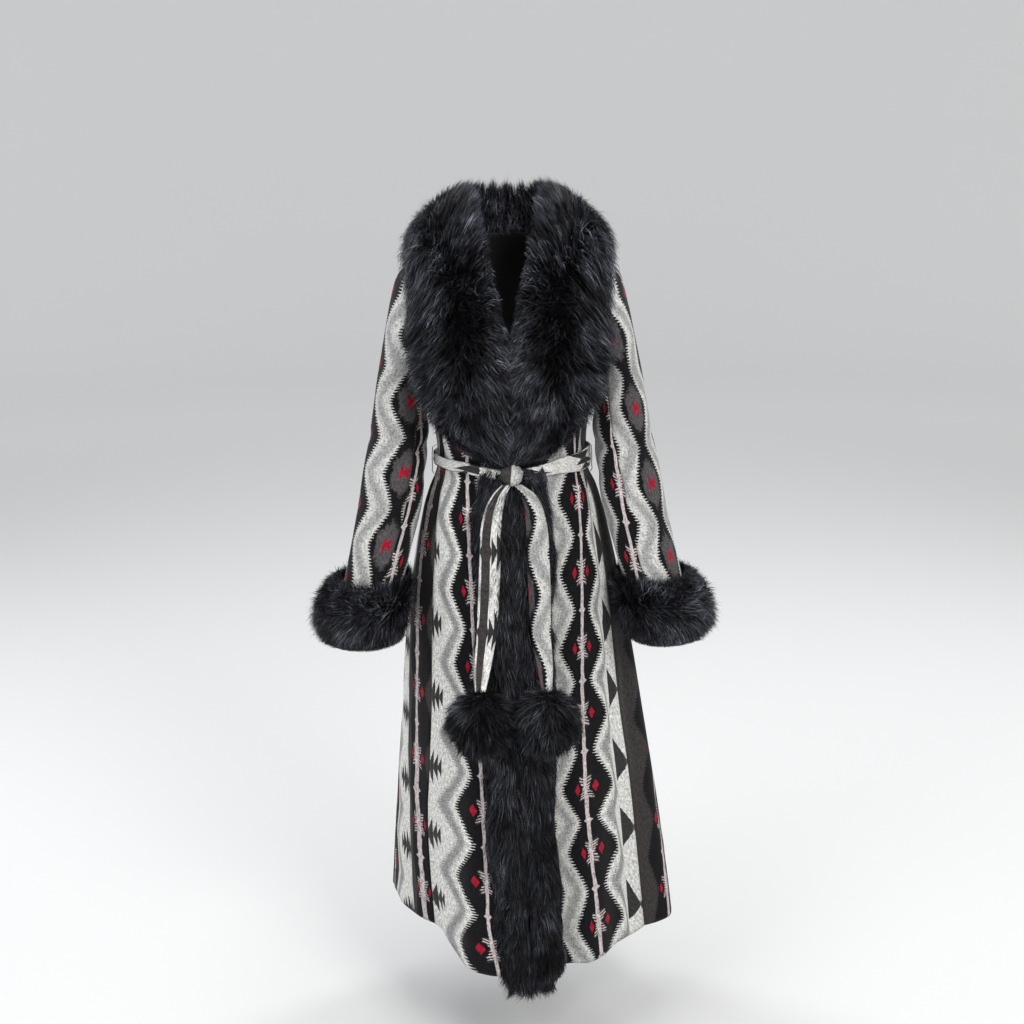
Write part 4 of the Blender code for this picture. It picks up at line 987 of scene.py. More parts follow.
def front_panel_piece(side, word, finish, reverse):
    """A front panel. Its chart runs from the knotted line to both edges."""
    rows = cloth_rows(NECK_Z, HEM_Z, CLOTH_STEP)
    angle, z, points, normals = body_grid(
        rows, lambda t: front_edge_angle(t, side), lambda t: seam_angle(FRONT_SEAM, t, side),
        FRONT_COLUMNS, side,
    )
    moved = creased(angle, z, points, normals)
    spine_table, seam_table, drop_table, clusters = FRONT_CHART[side]
    edge_turn = front_edge_angle(rows, side) * side * math.pi / 180
    start = (edge_turn * body_radius(0.0, rows) - centre_drift(rows)) * side * 100
    across = along_row(points) + start[:, None]
    spine = table_at(spine_table, rows)[:, None]
    seam = across[:, -1:]
    at_seam = table_at(seam_table, rows)[:, None]
    over = across - spine
    # the knotted line itself keeps its width, and the stripes past it spread to the seam
    stretch = (at_seam - SPINE_AT - LINE_HALF) / np.maximum(seam - spine - LINE_HALF, 1.0)
    chart_across = SPINE_AT + np.where(over > LINE_HALF, LINE_HALF + (over - LINE_HALF) * stretch, over)
    if side > 0:
        part = np.clip(over / np.maximum(seam - spine, 1.0), 0, 1)
        hidden = (HIDDEN_TO - HIDDEN_FROM) * np.clip((part - HIDDEN_AT) / HIDDEN_WIDE, 0, 1)
        ribbon_side = SPINE_AT + RIBBON_RATE * np.minimum(part, HIDDEN_AT) + hidden
        seam_side = (at_seam - HIDDEN_TO) * np.clip((part - REST_AT) / REST_WIDE, 0, 1)
        chart_across = np.where(over > 0, ribbon_side + seam_side, chart_across)
    drop = table_at(drop_table, rows)[:, None]
    share = np.clip((chart_across - SPINE_AT) / (STEP_AT - SPINE_AT), 0, 1.1)
    chart_along = repeats(z, clusters) - drop * share**2 * (1.5 - 0.5 * share)
    chart = np.stack([chart_across, chart_along], axis=-1)
    return shell("cloth_front_" + word, moved, normals, CLOTH, chart, finish, reverse)


def side_panel_piece(side, word, finish, reverse):
    """A side panel. Its chart runs from its knotted line, before and behind it."""
    rows = cloth_rows(SIDE_TOP_Z, HEM_Z, CLOTH_STEP)
    angle, z, points, normals = body_grid(
        rows, lambda t: seam_angle(FRONT_SEAM, t, side), lambda t: seam_angle(BACK_SEAM, t),
        SIDE_COLUMNS, side, armhole=True,
    )
    moved = creased(angle, z, points, normals)
    across = along_row(points)
    spine = table_at(SIDE_LEFT_SPINE if side > 0 else SIDE_RIGHT_SPINE, rows)[:, None]
    past = across - spine
    # behind the line the chart runs on to the off-white band of the next repeat
    band = np.where(past < 4.4, 0.60 + (past - SIDE_LINE_HALF) * 2.7, past + 4.84)
    behind = MIRROR_AT + np.where(past < SIDE_LINE_HALF, past * 0.5, band)
    if side > 0:
        before = SIDE_EDGE_CHART + (MIRROR_AT - SIDE_EDGE_CHART) * across / spine
    else:
        slope = (np.minimum(spine, 3.7) - 0.6) / (spine - SIDE_LINE_HALF)
        black = -0.6 + (past + SIDE_LINE_HALF) * slope
        before = MIRROR_AT + np.where(past > -SIDE_LINE_HALF, past * 0.5, black)
    chart_across = np.where(across < spine, before, behind)
    chart = np.stack([chart_across, repeats(z, SIDE_CLUSTERS)], axis=-1)
    return shell("cloth_side_" + word, moved, normals, CLOTH, chart, finish, reverse)


def back_panel_piece(finish, reverse):
    """The back panel, with the lozenge line at its middle."""
    rows = cloth_rows(NECK_Z, HEM_Z, CLOTH_STEP)
    angle, z, points, normals = body_grid(
        rows, lambda t: seam_angle(BACK_SEAM, t), lambda t: 360.0 - seam_angle(BACK_SEAM, t), BACK_COLUMNS, 1
    )
    moved = creased(angle, z, points, normals)
    across = along_row(points)
    middle = 0.5 * across[:, -1:]
    chart = np.stack([across - middle, repeats(z, SIDE_CLUSTERS)], axis=-1)
    return shell("cloth_back", moved, normals, CLOTH, chart, finish, reverse)


# Sleeve seams, as turns round the sleeve at each height, and where the lozenge line runs
SLEEVE_FRONT_SEAM = {
    1: ((-0.69, 73), (-0.58, 72), (-0.45, 74), (-0.33, 64), (-0.20, 48), (-0.05, 36)),
    -1: ((-0.69, 72), (-0.58, 66), (-0.45, 57), (-0.33, 50), (-0.20, 42), (-0.05, 36)),
}
SLEEVE_BACK_SEAM = ((-0.69, 292), (-0.45, 298), (-0.20, 312), (-0.05, 322))
LOZENGE_LINE = {
    1: ((-0.69, 3.2), (-0.554, 4.4), (-0.428, 5.8), (-0.296, 7.2), (-0.168, 10.2), (-0.05, 11.5)),
    -1: ((-0.69, 9.2), (-0.522, 10.4), (-0.400, 11.8), (-0.278, 12.4), (-0.05, 12.8)),
}
SLEEVE_LOZENGES = {1: (-0.168, -0.296, -0.428, -0.554), -1: (-0.156, -0.278, -0.400, -0.522)}
OUTSIDE_TURN = 180.0
LEAST_STRIP = 6.0  # degrees below which a part of the under sleeve is left to the upper part
RIGHT_LINE_AT = 0.45  # how far before the outside the right sleeve's knotted line runs, in centimetres
# Folds, with the same columns as the creases
SLEEVE_FOLDS = (
    (60, -0.300, 0.060, 62, 3.2, 8), (95, -0.335, 0.075, 55, 3.6, 9), (40, -0.365, 0.055, 70, 3.8, 8),
    (75, -0.395, 0.070, 60, 3.2, 9), (30, -0.430, 0.050, 72, 3.4, 8), (110, -0.430, 0.060, 48, 2.6, 9),
    (70, -0.520, 0.080, 35, 2.4, 10), (130, -0.260, 0.070, 40, 2.6, 10), (100, -0.180, 0.070, 30, 2.4, 10),
    (250, -0.320, 0.080, -50, 3.4, 9), (290, -0.350, 0.060, -64, 3.8, 8), (265, -0.390, 0.075, -58, 3.2, 9),
    (310, -0.420, 0.050, -70, 3.4, 8), (235, -0.440, 0.060, -44, 2.6, 9), (280, -0.530, 0.080, -32, 2.4, 10),
    (225, -0.250, 0.070, -40, 2.6, 10), (255, -0.170, 0.070, -28, 2.4, 10), (180, -0.350, 0.060, 80, 1.8, 9),
)


def sleeve_edges(rows):
    """For each row of the left sleeve: where its edges lie, and the turns at which they start and stop."""
    z = np.asarray(rows, float)[:, None]
    outer, inner, middle, half_depth = sleeve_sizes(z)
    ends = []
    for seam in (FRONT_SEAM, BACK_SEAM):
        edge = body_point(armhole_angle(z, seam), z)
        centre = np.stack([0.5 * (outer + inner), middle, z], axis=-1)
        inwards = unit((centre - edge) * np.array([0.15, 1.0, 0.0]))
        edge = edge + inwards * SEAM_GAP + np.array([SEAM_GAP, 0, 0])
        off_axis = (outer + inner - 2 * edge[..., 0]) / (outer - inner)
        turn = np.degrees(np.arctan2((middle - edge[..., 1]) / half_depth, off_axis))
        ends.append((edge, turn % 360.0))
    above = z > ARMPIT_Z + 0.0005
    seam_turn = np.degrees(0.5 * SEAM_GAP / half_depth) * 1.5
    first = (ends[0][1] + 60.0) % 360.0 - 60.0
    start = np.where(above, np.maximum(first, 0.0), seam_turn)
    stop = np.where(above, ends[1][1], 360.0 - seam_turn)
    return ends, above, start, stop


def sleeve_strip(rows, low, high, columns):
    """Points of the left sleeve between two turns, which are given for each row."""
    z = np.asarray(rows, float)[:, None]
    ends, above, start, stop = sleeve_edges(rows)
    low, high = np.clip(low, start, stop), np.clip(high, start, stop)
    turn = low + (high - low) * np.linspace(0, 1, columns + 1)[None, :]
    share = (turn - start) / (stop - start)
    points = sleeve_ring(z, turn)
    for (edge, end_turn), weight in zip(ends, (1 - share, share)):
        pull = fade(weight, 0.55, 1.0)[..., None] * above[..., None]
        points = points + pull * (edge - sleeve_ring(z, end_turn))
    return turn, points


def sleeve_fold_depth(turn, points):
    """How far the folds move a sleeve in, in metres, at each point of a grid."""
    total = np.zeros(turn.shape)
    z = points[..., 2]
    for middle, height, length, lean, depth, half_width in SLEEVE_FOLDS:
        off = np.radians(degrees_apart(turn, middle)) * SLEEVE_ROUND
        up = z - height
        tilt = math.radians(lean)
        beside = off * math.cos(tilt) + up * math.sin(tilt) + 0.004 * np.sin(off * 60 + middle)
        along = up * math.cos(tilt) - off * math.sin(tilt)
        total += crease(beside, along, 0.62 * length, half_width, depth, 0.45, 2.0)
    return total


# The under sleeve's chart. Its knotted line in front, in centimetres before the outside on the left and past
# the lozenge line on the right. Then a place behind the outside, and the chart value there for each side
UNDER_LINE_AT, UNDER_LINE_PAST = 12.0, 2.6
BEHIND_AT, BEHIND_CHART = -18.0, {1: 12.0, -1: 10.0}
UNDER_SHIFT = 0.27  # repeats by which the chart of the right under sleeve's front part is shifted


def sleeve_chart(side, name, forward, line, along):
    """Chart of a sleeve's part, from its distance before the outside and that of its lozenge line."""
    if name == "upper" and side > 0:
        across = forward - line
    elif name == "upper":
        before = (line - forward) * (SPINE_AT / (line - RIGHT_LINE_AT))
        across = np.where(forward > RIGHT_LINE_AT, before, SPINE_AT - (forward - RIGHT_LINE_AT))
    elif name == "under_front":
        across = SPINE_AT - (forward - UNDER_LINE_AT if side > 0 else forward - line - UNDER_LINE_PAST)
    else:
        across = BEHIND_CHART[side] + side * (forward - BEHIND_AT)
    if name != "upper":
        along = along + 0.5 * PERIOD
    if side < 0 and name == "under_front":
        along = along - UNDER_SHIFT * PERIOD
    return np.stack([across, np.broadcast_to(along, across.shape)], axis=-1)


def sleeve_pieces(side, word, finish, reverse):
    """The upper sleeve and the two parts of the under sleeve that show in front and behind."""
    rows = cloth_rows(SLEEVE_TOP_Z, SLEEVE_END_Z, SLEEVE_STEP)[::-1]
    front = table_at(SLEEVE_FRONT_SEAM[side], rows)[:, None]
    back = table_at(SLEEVE_BACK_SEAM, rows)[:, None]
    gap = np.degrees(0.5 * SEAM_GAP / SLEEVE_ROUND)
    _, _, start, stop = sleeve_edges(rows)
    in_front, behind = front - start > LEAST_STRIP, stop - back > LEAST_STRIP
    lozenge = table_at(LOZENGE_LINE[side], rows)[:, None]
    along = repeats(rows, SLEEVE_LOZENGES[side])[:, None] + 0.5 * PERIOD
    every_row = np.ones(len(rows), bool)
    flip = np.array([side, 1.0, 1.0])
    fine = np.linspace(0, 360, 721)
    made = []
    for name, low, high, keep, columns in (
        ("upper", np.where(in_front, front + gap, start), np.where(behind, back - gap, stop), every_row, 44),
        ("under_front", start, front - gap, in_front[:, 0], 14),
        ("under_back", back + gap, stop, behind[:, 0], 14),
    ):
        pick = rows[keep]
        turn, points = sleeve_strip(pick, low[keep], high[keep], columns)
        normals = grid_normals(points)
        if name == "upper":
            centre = points.mean(axis=1, keepdims=True)
        else:
            centre = sleeve_ring(pick[:, None], 0.0) * 0.5 + sleeve_ring(pick[:, None], OUTSIDE_TURN) * 0.5
        if float((normals * (points - centre)).sum()) < 0:
            normals = -normals
        edge, pinch = seam_pinch(points)
        depth = np.maximum(sleeve_fold_depth(turn, points), -SLEEVE_RIDGE_MOST)
        quiet = fade(points[..., 2], -0.060, -0.150) * fade(points[..., 2], -0.600, -0.560)
        depth = depth * quiet * fade(edge, 0.0, 0.012) + pinch
        moved = points - normals * depth[..., None]
        # distance from the outside line, forwards being positive
        arc = along_row(sleeve_ring(pick[:, None], fine[None, :]))
        at = np.stack([np.interp(t, fine, a) for t, a in zip(turn, arc)])
        middle = np.array([np.interp(OUTSIDE_TURN, fine, a) for a in arc])[:, None]
        chart = sleeve_chart(side, name, middle - at, lozenge[keep], along[keep])
        piece = "cloth_sleeve_" + name + "_" + word
        made.append(shell(piece, moved * flip, normals * flip, CLOTH, chart, finish, reverse))
    return made


# Fur. Each strand is a thin tapered blade that starts inside its solid and ends near its surface.
def sample(grid, u, v, round_u=False):
    """Points of a grid at fractional places u, v from 0 to 1."""
    rows, columns = grid.shape[:2]
    if round_u:
        x = (u % 1.0) * rows
        i0 = np.floor(x).astype(int) % rows
        i1 = (i0 + 1) % rows
        fu = x - np.floor(x)
    else:
        x = np.clip(u, 0, 1) * (rows - 1)
        i0 = np.minimum(x.astype(int), rows - 2)
        i1 = i0 + 1
        fu = x - i0
    y = np.clip(v, 0, 1) * (columns - 1)
    j0 = np.minimum(y.astype(int), columns - 2)
    fv = y - j0
    fu, fv = fu[..., None], fv[..., None]
    top = grid[i0, j0] * (1 - fv) + grid[i0, j0 + 1] * fv
    low = grid[i1, j0] * (1 - fv) + grid[i1, j0 + 1] * fv
    return top * (1 - fu) + low * fu


def slopes(grid, u, v, round_u=False):
    """Surface directions along u and v, for a whole step of each."""
    step = 0.01
    along_u = (sample(grid, u + step, v, round_u) - sample(grid, u - step, v, round_u)) / (2 * step)
    along_v = (sample(grid, u, v + step, round_u) - sample(grid, u, v - step, round_u)) / (2 * step)
    return along_u, along_v


def off_body(points, space):
    """Moves points out until they stand clear of the coat's body."""
    angle = np.degrees(np.arctan2(points[:, 0], -points[:, 1]))
    z = np.clip(points[:, 2], -1.36, NECK_Z - 0.020)
    ledge = fade(np.abs(z - WAIST_Z), 0.030, 0.016) * fade(np.abs(angle), 62, 45)
    need = body_radius(angle, z) + space + BELT_LEDGE * ledge
    have = np.hypot(points[:, 0], points[:, 1])
    grow = np.where((have < need) & (points[:, 2] < NECK_Z - 0.010), need / np.maximum(have, 0.02), 1.0)
    return points * np.stack([grow, grow, np.ones(len(grow))], axis=-1)


TINY = 1e-9  # keeps a direction of no length from dividing by zero
FUR_OVERLAP = 0.0015  # how far a collar half's hair starts past the centre back
FUR_CLOSING = 0.0016  # how far a front strip's hair starts past its edge
UNDERCOAT_ROUGH = 0.0012


def scatter_locks(rng, surface, locks, round_u):
    """Places of locks, spread evenly over a surface's area."""
    area_u, area_v = np.meshgrid(np.linspace(0, 1, 80), np.linspace(0, 1, 60), indexing="ij")
    du, dv = slopes(surface, area_u, area_v, round_u)
    chance = np.cumsum(np.linalg.norm(np.cross(du, dv), axis=-1).ravel())
    pick = np.searchsorted(chance, rng.random(locks) * chance[-1])
    lock_u = area_u.ravel()[pick] + (rng.random(locks) - 0.5) / 79
    lock_v = np.clip(area_v.ravel()[pick] + (rng.random(locks) - 0.5) / 59, 0, 1)
    return lock_u % 1.0 if round_u else np.clip(lock_u, 0, 1), lock_v


def blades(rng, root, middle, tip, outward, width):
    """Points and triangles of thin blades that face outwards, each turned a little."""
    total = len(root)
    facing = unit(outward + rng.normal(size=(total, 3)) * 0.40)
    across = unit(np.cross(unit(tip - root + TINY), facing) + TINY)
    half = (0.5 * width * rng.uniform(0.55, 1.30, total))[:, None]
    side = across * half
    points = np.stack([root - side, root + side, middle - side * 0.9, middle + side * 0.9, tip], axis=1)
    start = (np.arange(total) * 5)[:, None]
    faces = [start + np.array([corners]) for corners in ((0, 1, 3), (0, 3, 2), (2, 3, 4))]
    return points, np.concatenate(faces)


def strands(name, surface, base, flow, count, seed, finish, round_u=False, per_lock=22, width=0.0009,
            spread=0.011, depth=(0.35, 0.85), proud=0.006, bulge=0.010, clear=None, loose_share=0.14,
            overflow=0.012, gather=0.42):
    """Hair over a fur solid. flow(u, v, point, along_u, along_v) gives how far a tip lies from its root,
    as a direction in space times a length. Hairs gather in locks, whose tips draw together."""
    rng = np.random.default_rng(seed)
    locks = count // per_lock
    lock_u, lock_v = scatter_locks(rng, surface, locks, round_u)
    lu, lv = slopes(surface, lock_u, lock_v, round_u)
    size_u = np.maximum(np.linalg.norm(lu, axis=-1), 1e-4)
    size_v = np.maximum(np.linalg.norm(lv, axis=-1), 1e-4)
    # hairs around each lock
    k = np.repeat(np.arange(locks), per_lock)
    total = len(k)
    jitter = rng.normal(size=(total, 2)) * spread
    u = lock_u[k] + jitter[:, 0] / size_u[k]
    v = lock_v[k] + jitter[:, 1] / size_v[k]
    v = np.clip(np.where(v < 0, -v, np.where(v > 1, 2 - v, v)), 0, 1)
    u = u % 1.0 if round_u else np.clip(np.where(u < 0, -u, np.where(u > 1, 2 - u, u)), 0, 1)
    skin = sample(surface, u, v, round_u)
    hide = sample(base, u, v, round_u)
    share = rng.uniform(depth[0], depth[1], total)[:, None]
    root = hide + (skin - hide) * share
    outward_here = unit(skin - hide + TINY)
    # tips: the lock's own tip, with part of each hair's own place left in
    au, av = slopes(surface, u, v, round_u)
    lock_skin = sample(surface, lock_u, lock_v, round_u)
    lock_flow = flow(lock_u, lock_v, lock_skin, lu, lv) * rng.uniform(0.75, 1.15, locks)[:, None]
    lock_flow += rng.normal(size=(locks, 3)) * 0.16 * np.linalg.norm(lock_flow, axis=1, keepdims=True)
    own = flow(u, v, skin, au, av) * 0.35 + lock_flow[k] * 0.65
    length = rng.uniform(0.50, 1.10, total)[:, None]
    move = own * length
    loose = rng.random(total)[:, None] < loose_share
    place = lock_skin[k] + (skin - lock_skin[k]) * np.where(loose, 0.95, gather) + move
    # bring the tip back near the solid's surface
    shift = place - skin
    tip_u = u + (shift * au).sum(-1) / np.maximum((au**2).sum(-1), 1e-8)
    tip_v = v + (shift * av).sum(-1) / np.maximum((av**2).sum(-1), 1e-8)
    held_u = tip_u if round_u else np.clip(tip_u, 0, 1)
    held_v = np.clip(tip_v, 0, 1)
    past_u = 0 if round_u else (tip_u - held_u) * np.linalg.norm(au, axis=-1)
    past = np.hypot(past_u, (tip_v - held_v) * np.linalg.norm(av, axis=-1))
    landed = sample(surface, held_u, held_v, round_u)
    landed_base = sample(base, held_u, held_v, round_u)
    tip_out = unit(landed - landed_base + TINY)
    lock_stand = (rng.random(locks) ** 3)[k][:, None] * proud
    stand = rng.uniform(0.0, proud, total)[:, None] * np.where(loose, 1.7, 1.0) + lock_stand
    most = overflow(skin) if callable(overflow) else overflow
    tip = landed + unit(own + TINY) * np.minimum(past, most * rng.uniform(0.3, 1.0, total))[:, None]
    tip = tip + tip_out * (stand - 0.004 * (rng.random(total)[:, None] ** 2))
    lift = (outward_here * 0.6 + tip_out * 0.4) * bulge * rng.uniform(0.3, 1.1, total)[:, None]
    middle = 0.46 * root + 0.54 * tip + lift
    if clear is not None:
        tip, middle = off_body(tip, clear * rng.uniform(0.6, 2.4, total)), off_body(middle, clear)
    points, faces = blades(rng, root, middle, tip, outward_here, width)
    # each hair's tone, part from its lock and part its own, picks the hairs that carry the fur's painted
    # highlight
    tone = np.clip(0.55 * rng.random(locks)[k] + 0.45 * rng.random(total), 0, 1)
    chart = np.zeros((total, 5, 2))
    chart[:, :, 0] = tone[:, None]
    chart[:, :, 1] = np.array([0.0, 0.0, 0.6, 0.6, 1.0])
    return mesh_piece(name, points, faces, (finish,), None, chart.reshape(-1, 2))


def undercoat(name, surface, base, share, finish, round_u=False):
    """The thick part of the fur under its guard hairs, as a closed body inside its solid."""
    columns = surface.shape[1]
    edge = np.abs(2 * np.linspace(0, 1, columns) - 1) ** 8
    share = (share + (0.99 - share) * edge)[None, :, None]
    rng = np.random.default_rng(5)
    rough = rng.normal(size=surface.shape[:2])[..., None] * UNDERCOAT_ROUGH * (1 - edge)[None, :, None]
    inside = base + (surface - base) * share + unit(surface - base + TINY) * rough
    sections = np.concatenate([inside, (base * 0.97 + inside * 0.03)[:, ::-1]], axis=1)
    return tube(name, sections, finish, None, round_path=round_u)


def collar_grids(side):
    """Surface and hide of one collar half. u runs from the centre back to the belt, v from the outer edge
    over the fur to the neckline."""
    surface, base = [], []
    for station in np.linspace(COLLAR[0][0], COLLAR[-1][0], 68):
        section = collar_section(station, side)
        feet, curve = section[:COLLAR_FOOT_POINTS], section[COLLAR_FOOT_POINTS:]
        curve = np.concatenate([feet[-1:], curve, feet[:1]])
        steps = np.linalg.norm(np.diff(curve, axis=0), axis=1)
        place = np.concatenate([[0], np.cumsum(steps)])
        surface.append(resampled(np.linspace(0, place[-1], COLLAR_SPLIT), place, curve))
        at = np.linspace(0.90, 0.10, COLLAR_SPLIT) * (COLLAR_FOOT_POINTS - 1)
        base.append(resampled(at, np.arange(COLLAR_FOOT_POINTS), feet))
    surface, base = np.array(surface), np.array(base)
    # the two halves' fur closes over the join at the centre back
    surface[0, :, 0] = base[0, :, 0] = -side * FUR_OVERLAP
    return surface, base


def front_fur_grids(side):
    """Surface and hide of one front edge. u runs down and v from the centre front outwards."""
    surface, base = [], []
    for z in np.linspace(FRONT_FUR[0][0], FUR_HEM_Z, 110):
        width, thick = float(table_at(FRONT_FUR, z, 1)), float(table_at(FRONT_FUR, z, 2))
        thick *= 1.0 - 0.55 * float(fade(z, FUR_HEM_Z + 0.030, FUR_HEM_Z))
        share = np.linspace(0, 1, 19)
        front = float(body_radius(0.0, z))
        middle = float(centre_drift(z))
        if side < 0:
            width *= 1 - 0.30 * float(fade(z, -1.02, -1.30))
        else:
            width *= 1 - 0.12 * math.exp(-(((z + 1.02) / 0.13) ** 2))
        width *= 1 - 0.34 * float(fade(z, FUR_HEM_Z + 0.050, FUR_HEM_Z)) ** 2
        width *= 1 + 0.045 * math.sin(z * 33 + side) + 0.030 * math.sin(z * 83 + 2 * side)
        angle = np.degrees((middle + side * (FUR_PARTING * 0.3 + share * width)) / front)
        under, normal = body_point(angle, z), body_normal(angle, z)
        profile = (1 - np.abs(2 * share - 1) ** 3.0) ** 0.45
        # the two strips' hair meets at the centre, so there the coat of hair stays deep
        profile = np.where(share < 0.5, np.maximum(profile, 0.78), profile)
        wave = fur_wave(z * 60, share * 5.0) * profile * min(1.0, thick / 0.02)
        top = under + normal * (LIFT + thick * profile + wave)[:, None]
        surface.append(keep_to_side(top, side))
        base.append(keep_to_side(under + normal * (LIFT + 0.0005), side))
    surface, base = np.array(surface), np.array(base)
    # and it closes over the gap between them
    surface[:, 0, 0] -= side * FUR_CLOSING
    base[:, 0, 0] -= side * FUR_CLOSING
    return surface, base


def cuff_grids(side):
    """Surface and hide of a cuff. u runs round the sleeve and v from the top edge down."""
    turns = np.linspace(0, 360, 96, endpoint=False)
    middle_z = 0.5 * (CUFF_TOP_Z + CUFF_BOTTOM_Z)
    half = 0.5 * (CUFF_TOP_Z - CUFF_BOTTOM_Z)
    surface, base = [], []
    for turn in turns:
        cosine = math.cos(math.radians(turn))
        stand = CUFF_DEPTH - 0.5 * (CUFF_OUTER - CUFF_INNER) * cosine
        stand += 0.25 * (CUFF_OUTER + CUFF_INNER - 2 * CUFF_DEPTH) * (1 + math.cos(2 * math.radians(turn)))
        skin, hide = [], []
        for share in np.linspace(-1, 1, 21):
            z = middle_z - half * share
            ring = sleeve_ring(np.array(z), np.array(turn))
            centre = 0.5 * (ring + sleeve_ring(np.array(z), np.array(turn + 180.0)))
            away = unit((ring - centre) * np.array([1.0, 1.0, 0.0]))
            bulge = max(0.0, 1 - abs(share) ** 2.6) ** 0.5
            drop = 0.10 * share
            wave = float(fur_wave(math.radians(turn) * 4, -share * 4.0)) * bulge
            point = ring + away * (CUFF_LIFT + 0.004 + stand * (bulge + drop * bulge) + wave)
            skin.append(clear_of_body(point, 0.0015))
            low = middle_z - half * share * 0.90
            ring = sleeve_ring(np.array(low), np.array(turn))
            hide.append(ring + away * (CUFF_LIFT + 0.0008))
        surface.append(skin)
        base.append(hide)
    flip = np.array([side, 1.0, 1.0])
    surface, base = np.array(surface), np.array(base)
    low = np.linspace(0, 1, surface.shape[1])[None, :, None]
    surface = base + (surface - base) * (0.97 - 0.12 * low) + np.array([0, 0, 0.006]) * low**2
    return surface * flip, base * flip


def ball_directions(lean, turn):
    """Directions from a ball's middle, for leans from its top and turns about its upright axis."""
    level = np.sin(lean)
    return np.stack([level * np.cos(turn), level * np.sin(turn), np.cos(lean) + 0 * turn], axis=-1)


def pompom_grids(word):
    """Surface and hide of a pompom, and its middle."""
    x, y = tail_line(TAIL[-1][0], word)
    centre = np.array([x, y - 0.5 * TAIL_THICK, TAIL[-1][0] - POMPOM_HALF[2] - SEAM_GAP])
    turns = np.linspace(0, 2 * math.pi, 60, endpoint=False)[:, None]
    leans = np.linspace(0.02, math.pi - 0.02, 31)[None, :]
    out = ball_directions(leans, turns)
    grow = 1.0 + 0.035 * np.sin(5 * turns + 2 * np.sin(3 * leans)) * np.sin(leans) ** 2
    surface = centre + out * np.array(POMPOM_HALF) * grow[..., None]
    base = centre + out * np.array(POMPOM_HALF) * 0.06 + np.array([0, 0, 0.030])
    return surface, base, centre


DOWN = np.array([0.0, 0.0, -1.0])
# Lengths of the hair, before it varies with its place and from lock to lock
COLLAR_HAIR, FRONT_HAIR, CUFF_HAIR, POMPOM_HAIR = 0.044, 0.048, 0.022, 0.026
COLLAR_EDGE_SHORTER, CUFF_EDGE_LONGER = 0.012, 0.018
# How the collar's hair lies: height, then degrees below level at the outer and at the inner edge. The
# heights rise, as np.interp needs them.
COLLAR_LIE = (
    (-0.450, 88, 88), (-0.355, 78, 82), (-0.280, 52, 68), (-0.200, 32, 56), (-0.116, 20, 48), (-0.050, 2, 42),
    (0.030, -32, 30), (0.080, -60, 0),
)


def collar_flow(u, v, point, along_u, along_v):
    """From a parting along the ridge towards both edges, and more and more downwards."""
    heights, outer_lie, inner_lie = zip(*COLLAR_LIE)
    in_front = fade(u, 0.22, 0.40)
    outer_lie = np.radians(np.interp(point[:, 2], heights, outer_lie)) * in_front
    inner_lie = np.radians(np.interp(point[:, 2], heights, inner_lie)) * in_front
    down, inwards = unit(along_u), unit(along_v)
    outer = np.cos(outer_lie)[:, None] * -inwards + np.sin(outer_lie)[:, None] * down
    inner = np.cos(inner_lie)[:, None] * inwards + np.sin(inner_lie)[:, None] * down
    turned = fade(v, 0.34, 0.66)[:, None]
    way = outer * (1 - turned) + inner * turned
    return way * (COLLAR_HAIR - COLLAR_EDGE_SHORTER * np.abs(0.5 - v)[:, None])


def collar_overflow(point):
    """How far hair may reach past the collar's edge: furthest over the belt beside the knot."""
    beside_knot = fade(point[:, 0], -0.066, -0.050) * fade(point[:, 0], -0.012, -0.022)
    low = fade(point[:, 2], -0.345, -0.365)
    return 0.017 * (1 - low) + low * (0.007 + 0.026 * beside_knot)


def front_flow(side):
    """Down the front edge, and spread a little to both sides."""
    def flow(u, v, point, along_u, along_v):
        spread = v - 0.32 + 0.16 * np.sin(u * 47) + 0.12 * np.sin(u * 101 + 1)
        spread = spread[:, None] * np.array([side * 1.0, 0.0, 0.0])
        return unit(spread * 1.25 + DOWN) * FRONT_HAIR
    return flow


def cuff_flow(u, v, point, along_u, along_v):
    """Up at the cuff's top edge and down below it, and a little outwards."""
    lean = (v[:, None] - 0.34) * 1.9
    away = np.stack([np.sign(point[:, 0]) * 0.30, -0.10 * np.ones(len(point)), np.zeros(len(point))], axis=-1)
    return unit(DOWN * lean + away * 0.5) * (CUFF_HAIR + CUFF_EDGE_LONGER * np.abs(lean))


def pompom_flow(centre):
    """Outwards from the pompom's middle, and hanging."""
    def flow(u, v, point, along_u, along_v):
        out = unit(point - centre)
        return unit(out * np.array([1.0, 1.0, 0.35]) + 0.55 * DOWN) * POMPOM_HAIR
    return flow


def belt_lift(angle):
    """The tied band is drawn down at its knot, so it lies a little higher beside the fur."""
    away = abs(degrees_apart(angle, 0.0))
    return BELT_RISE * float(fade(away, 8, 38)) * (1 - float(fade(away, 70, 120)))


BELT_FIGURES = (-201, -145, -89, -33, 15, 66, 122, 178)  # degrees at which a stepped figure lies


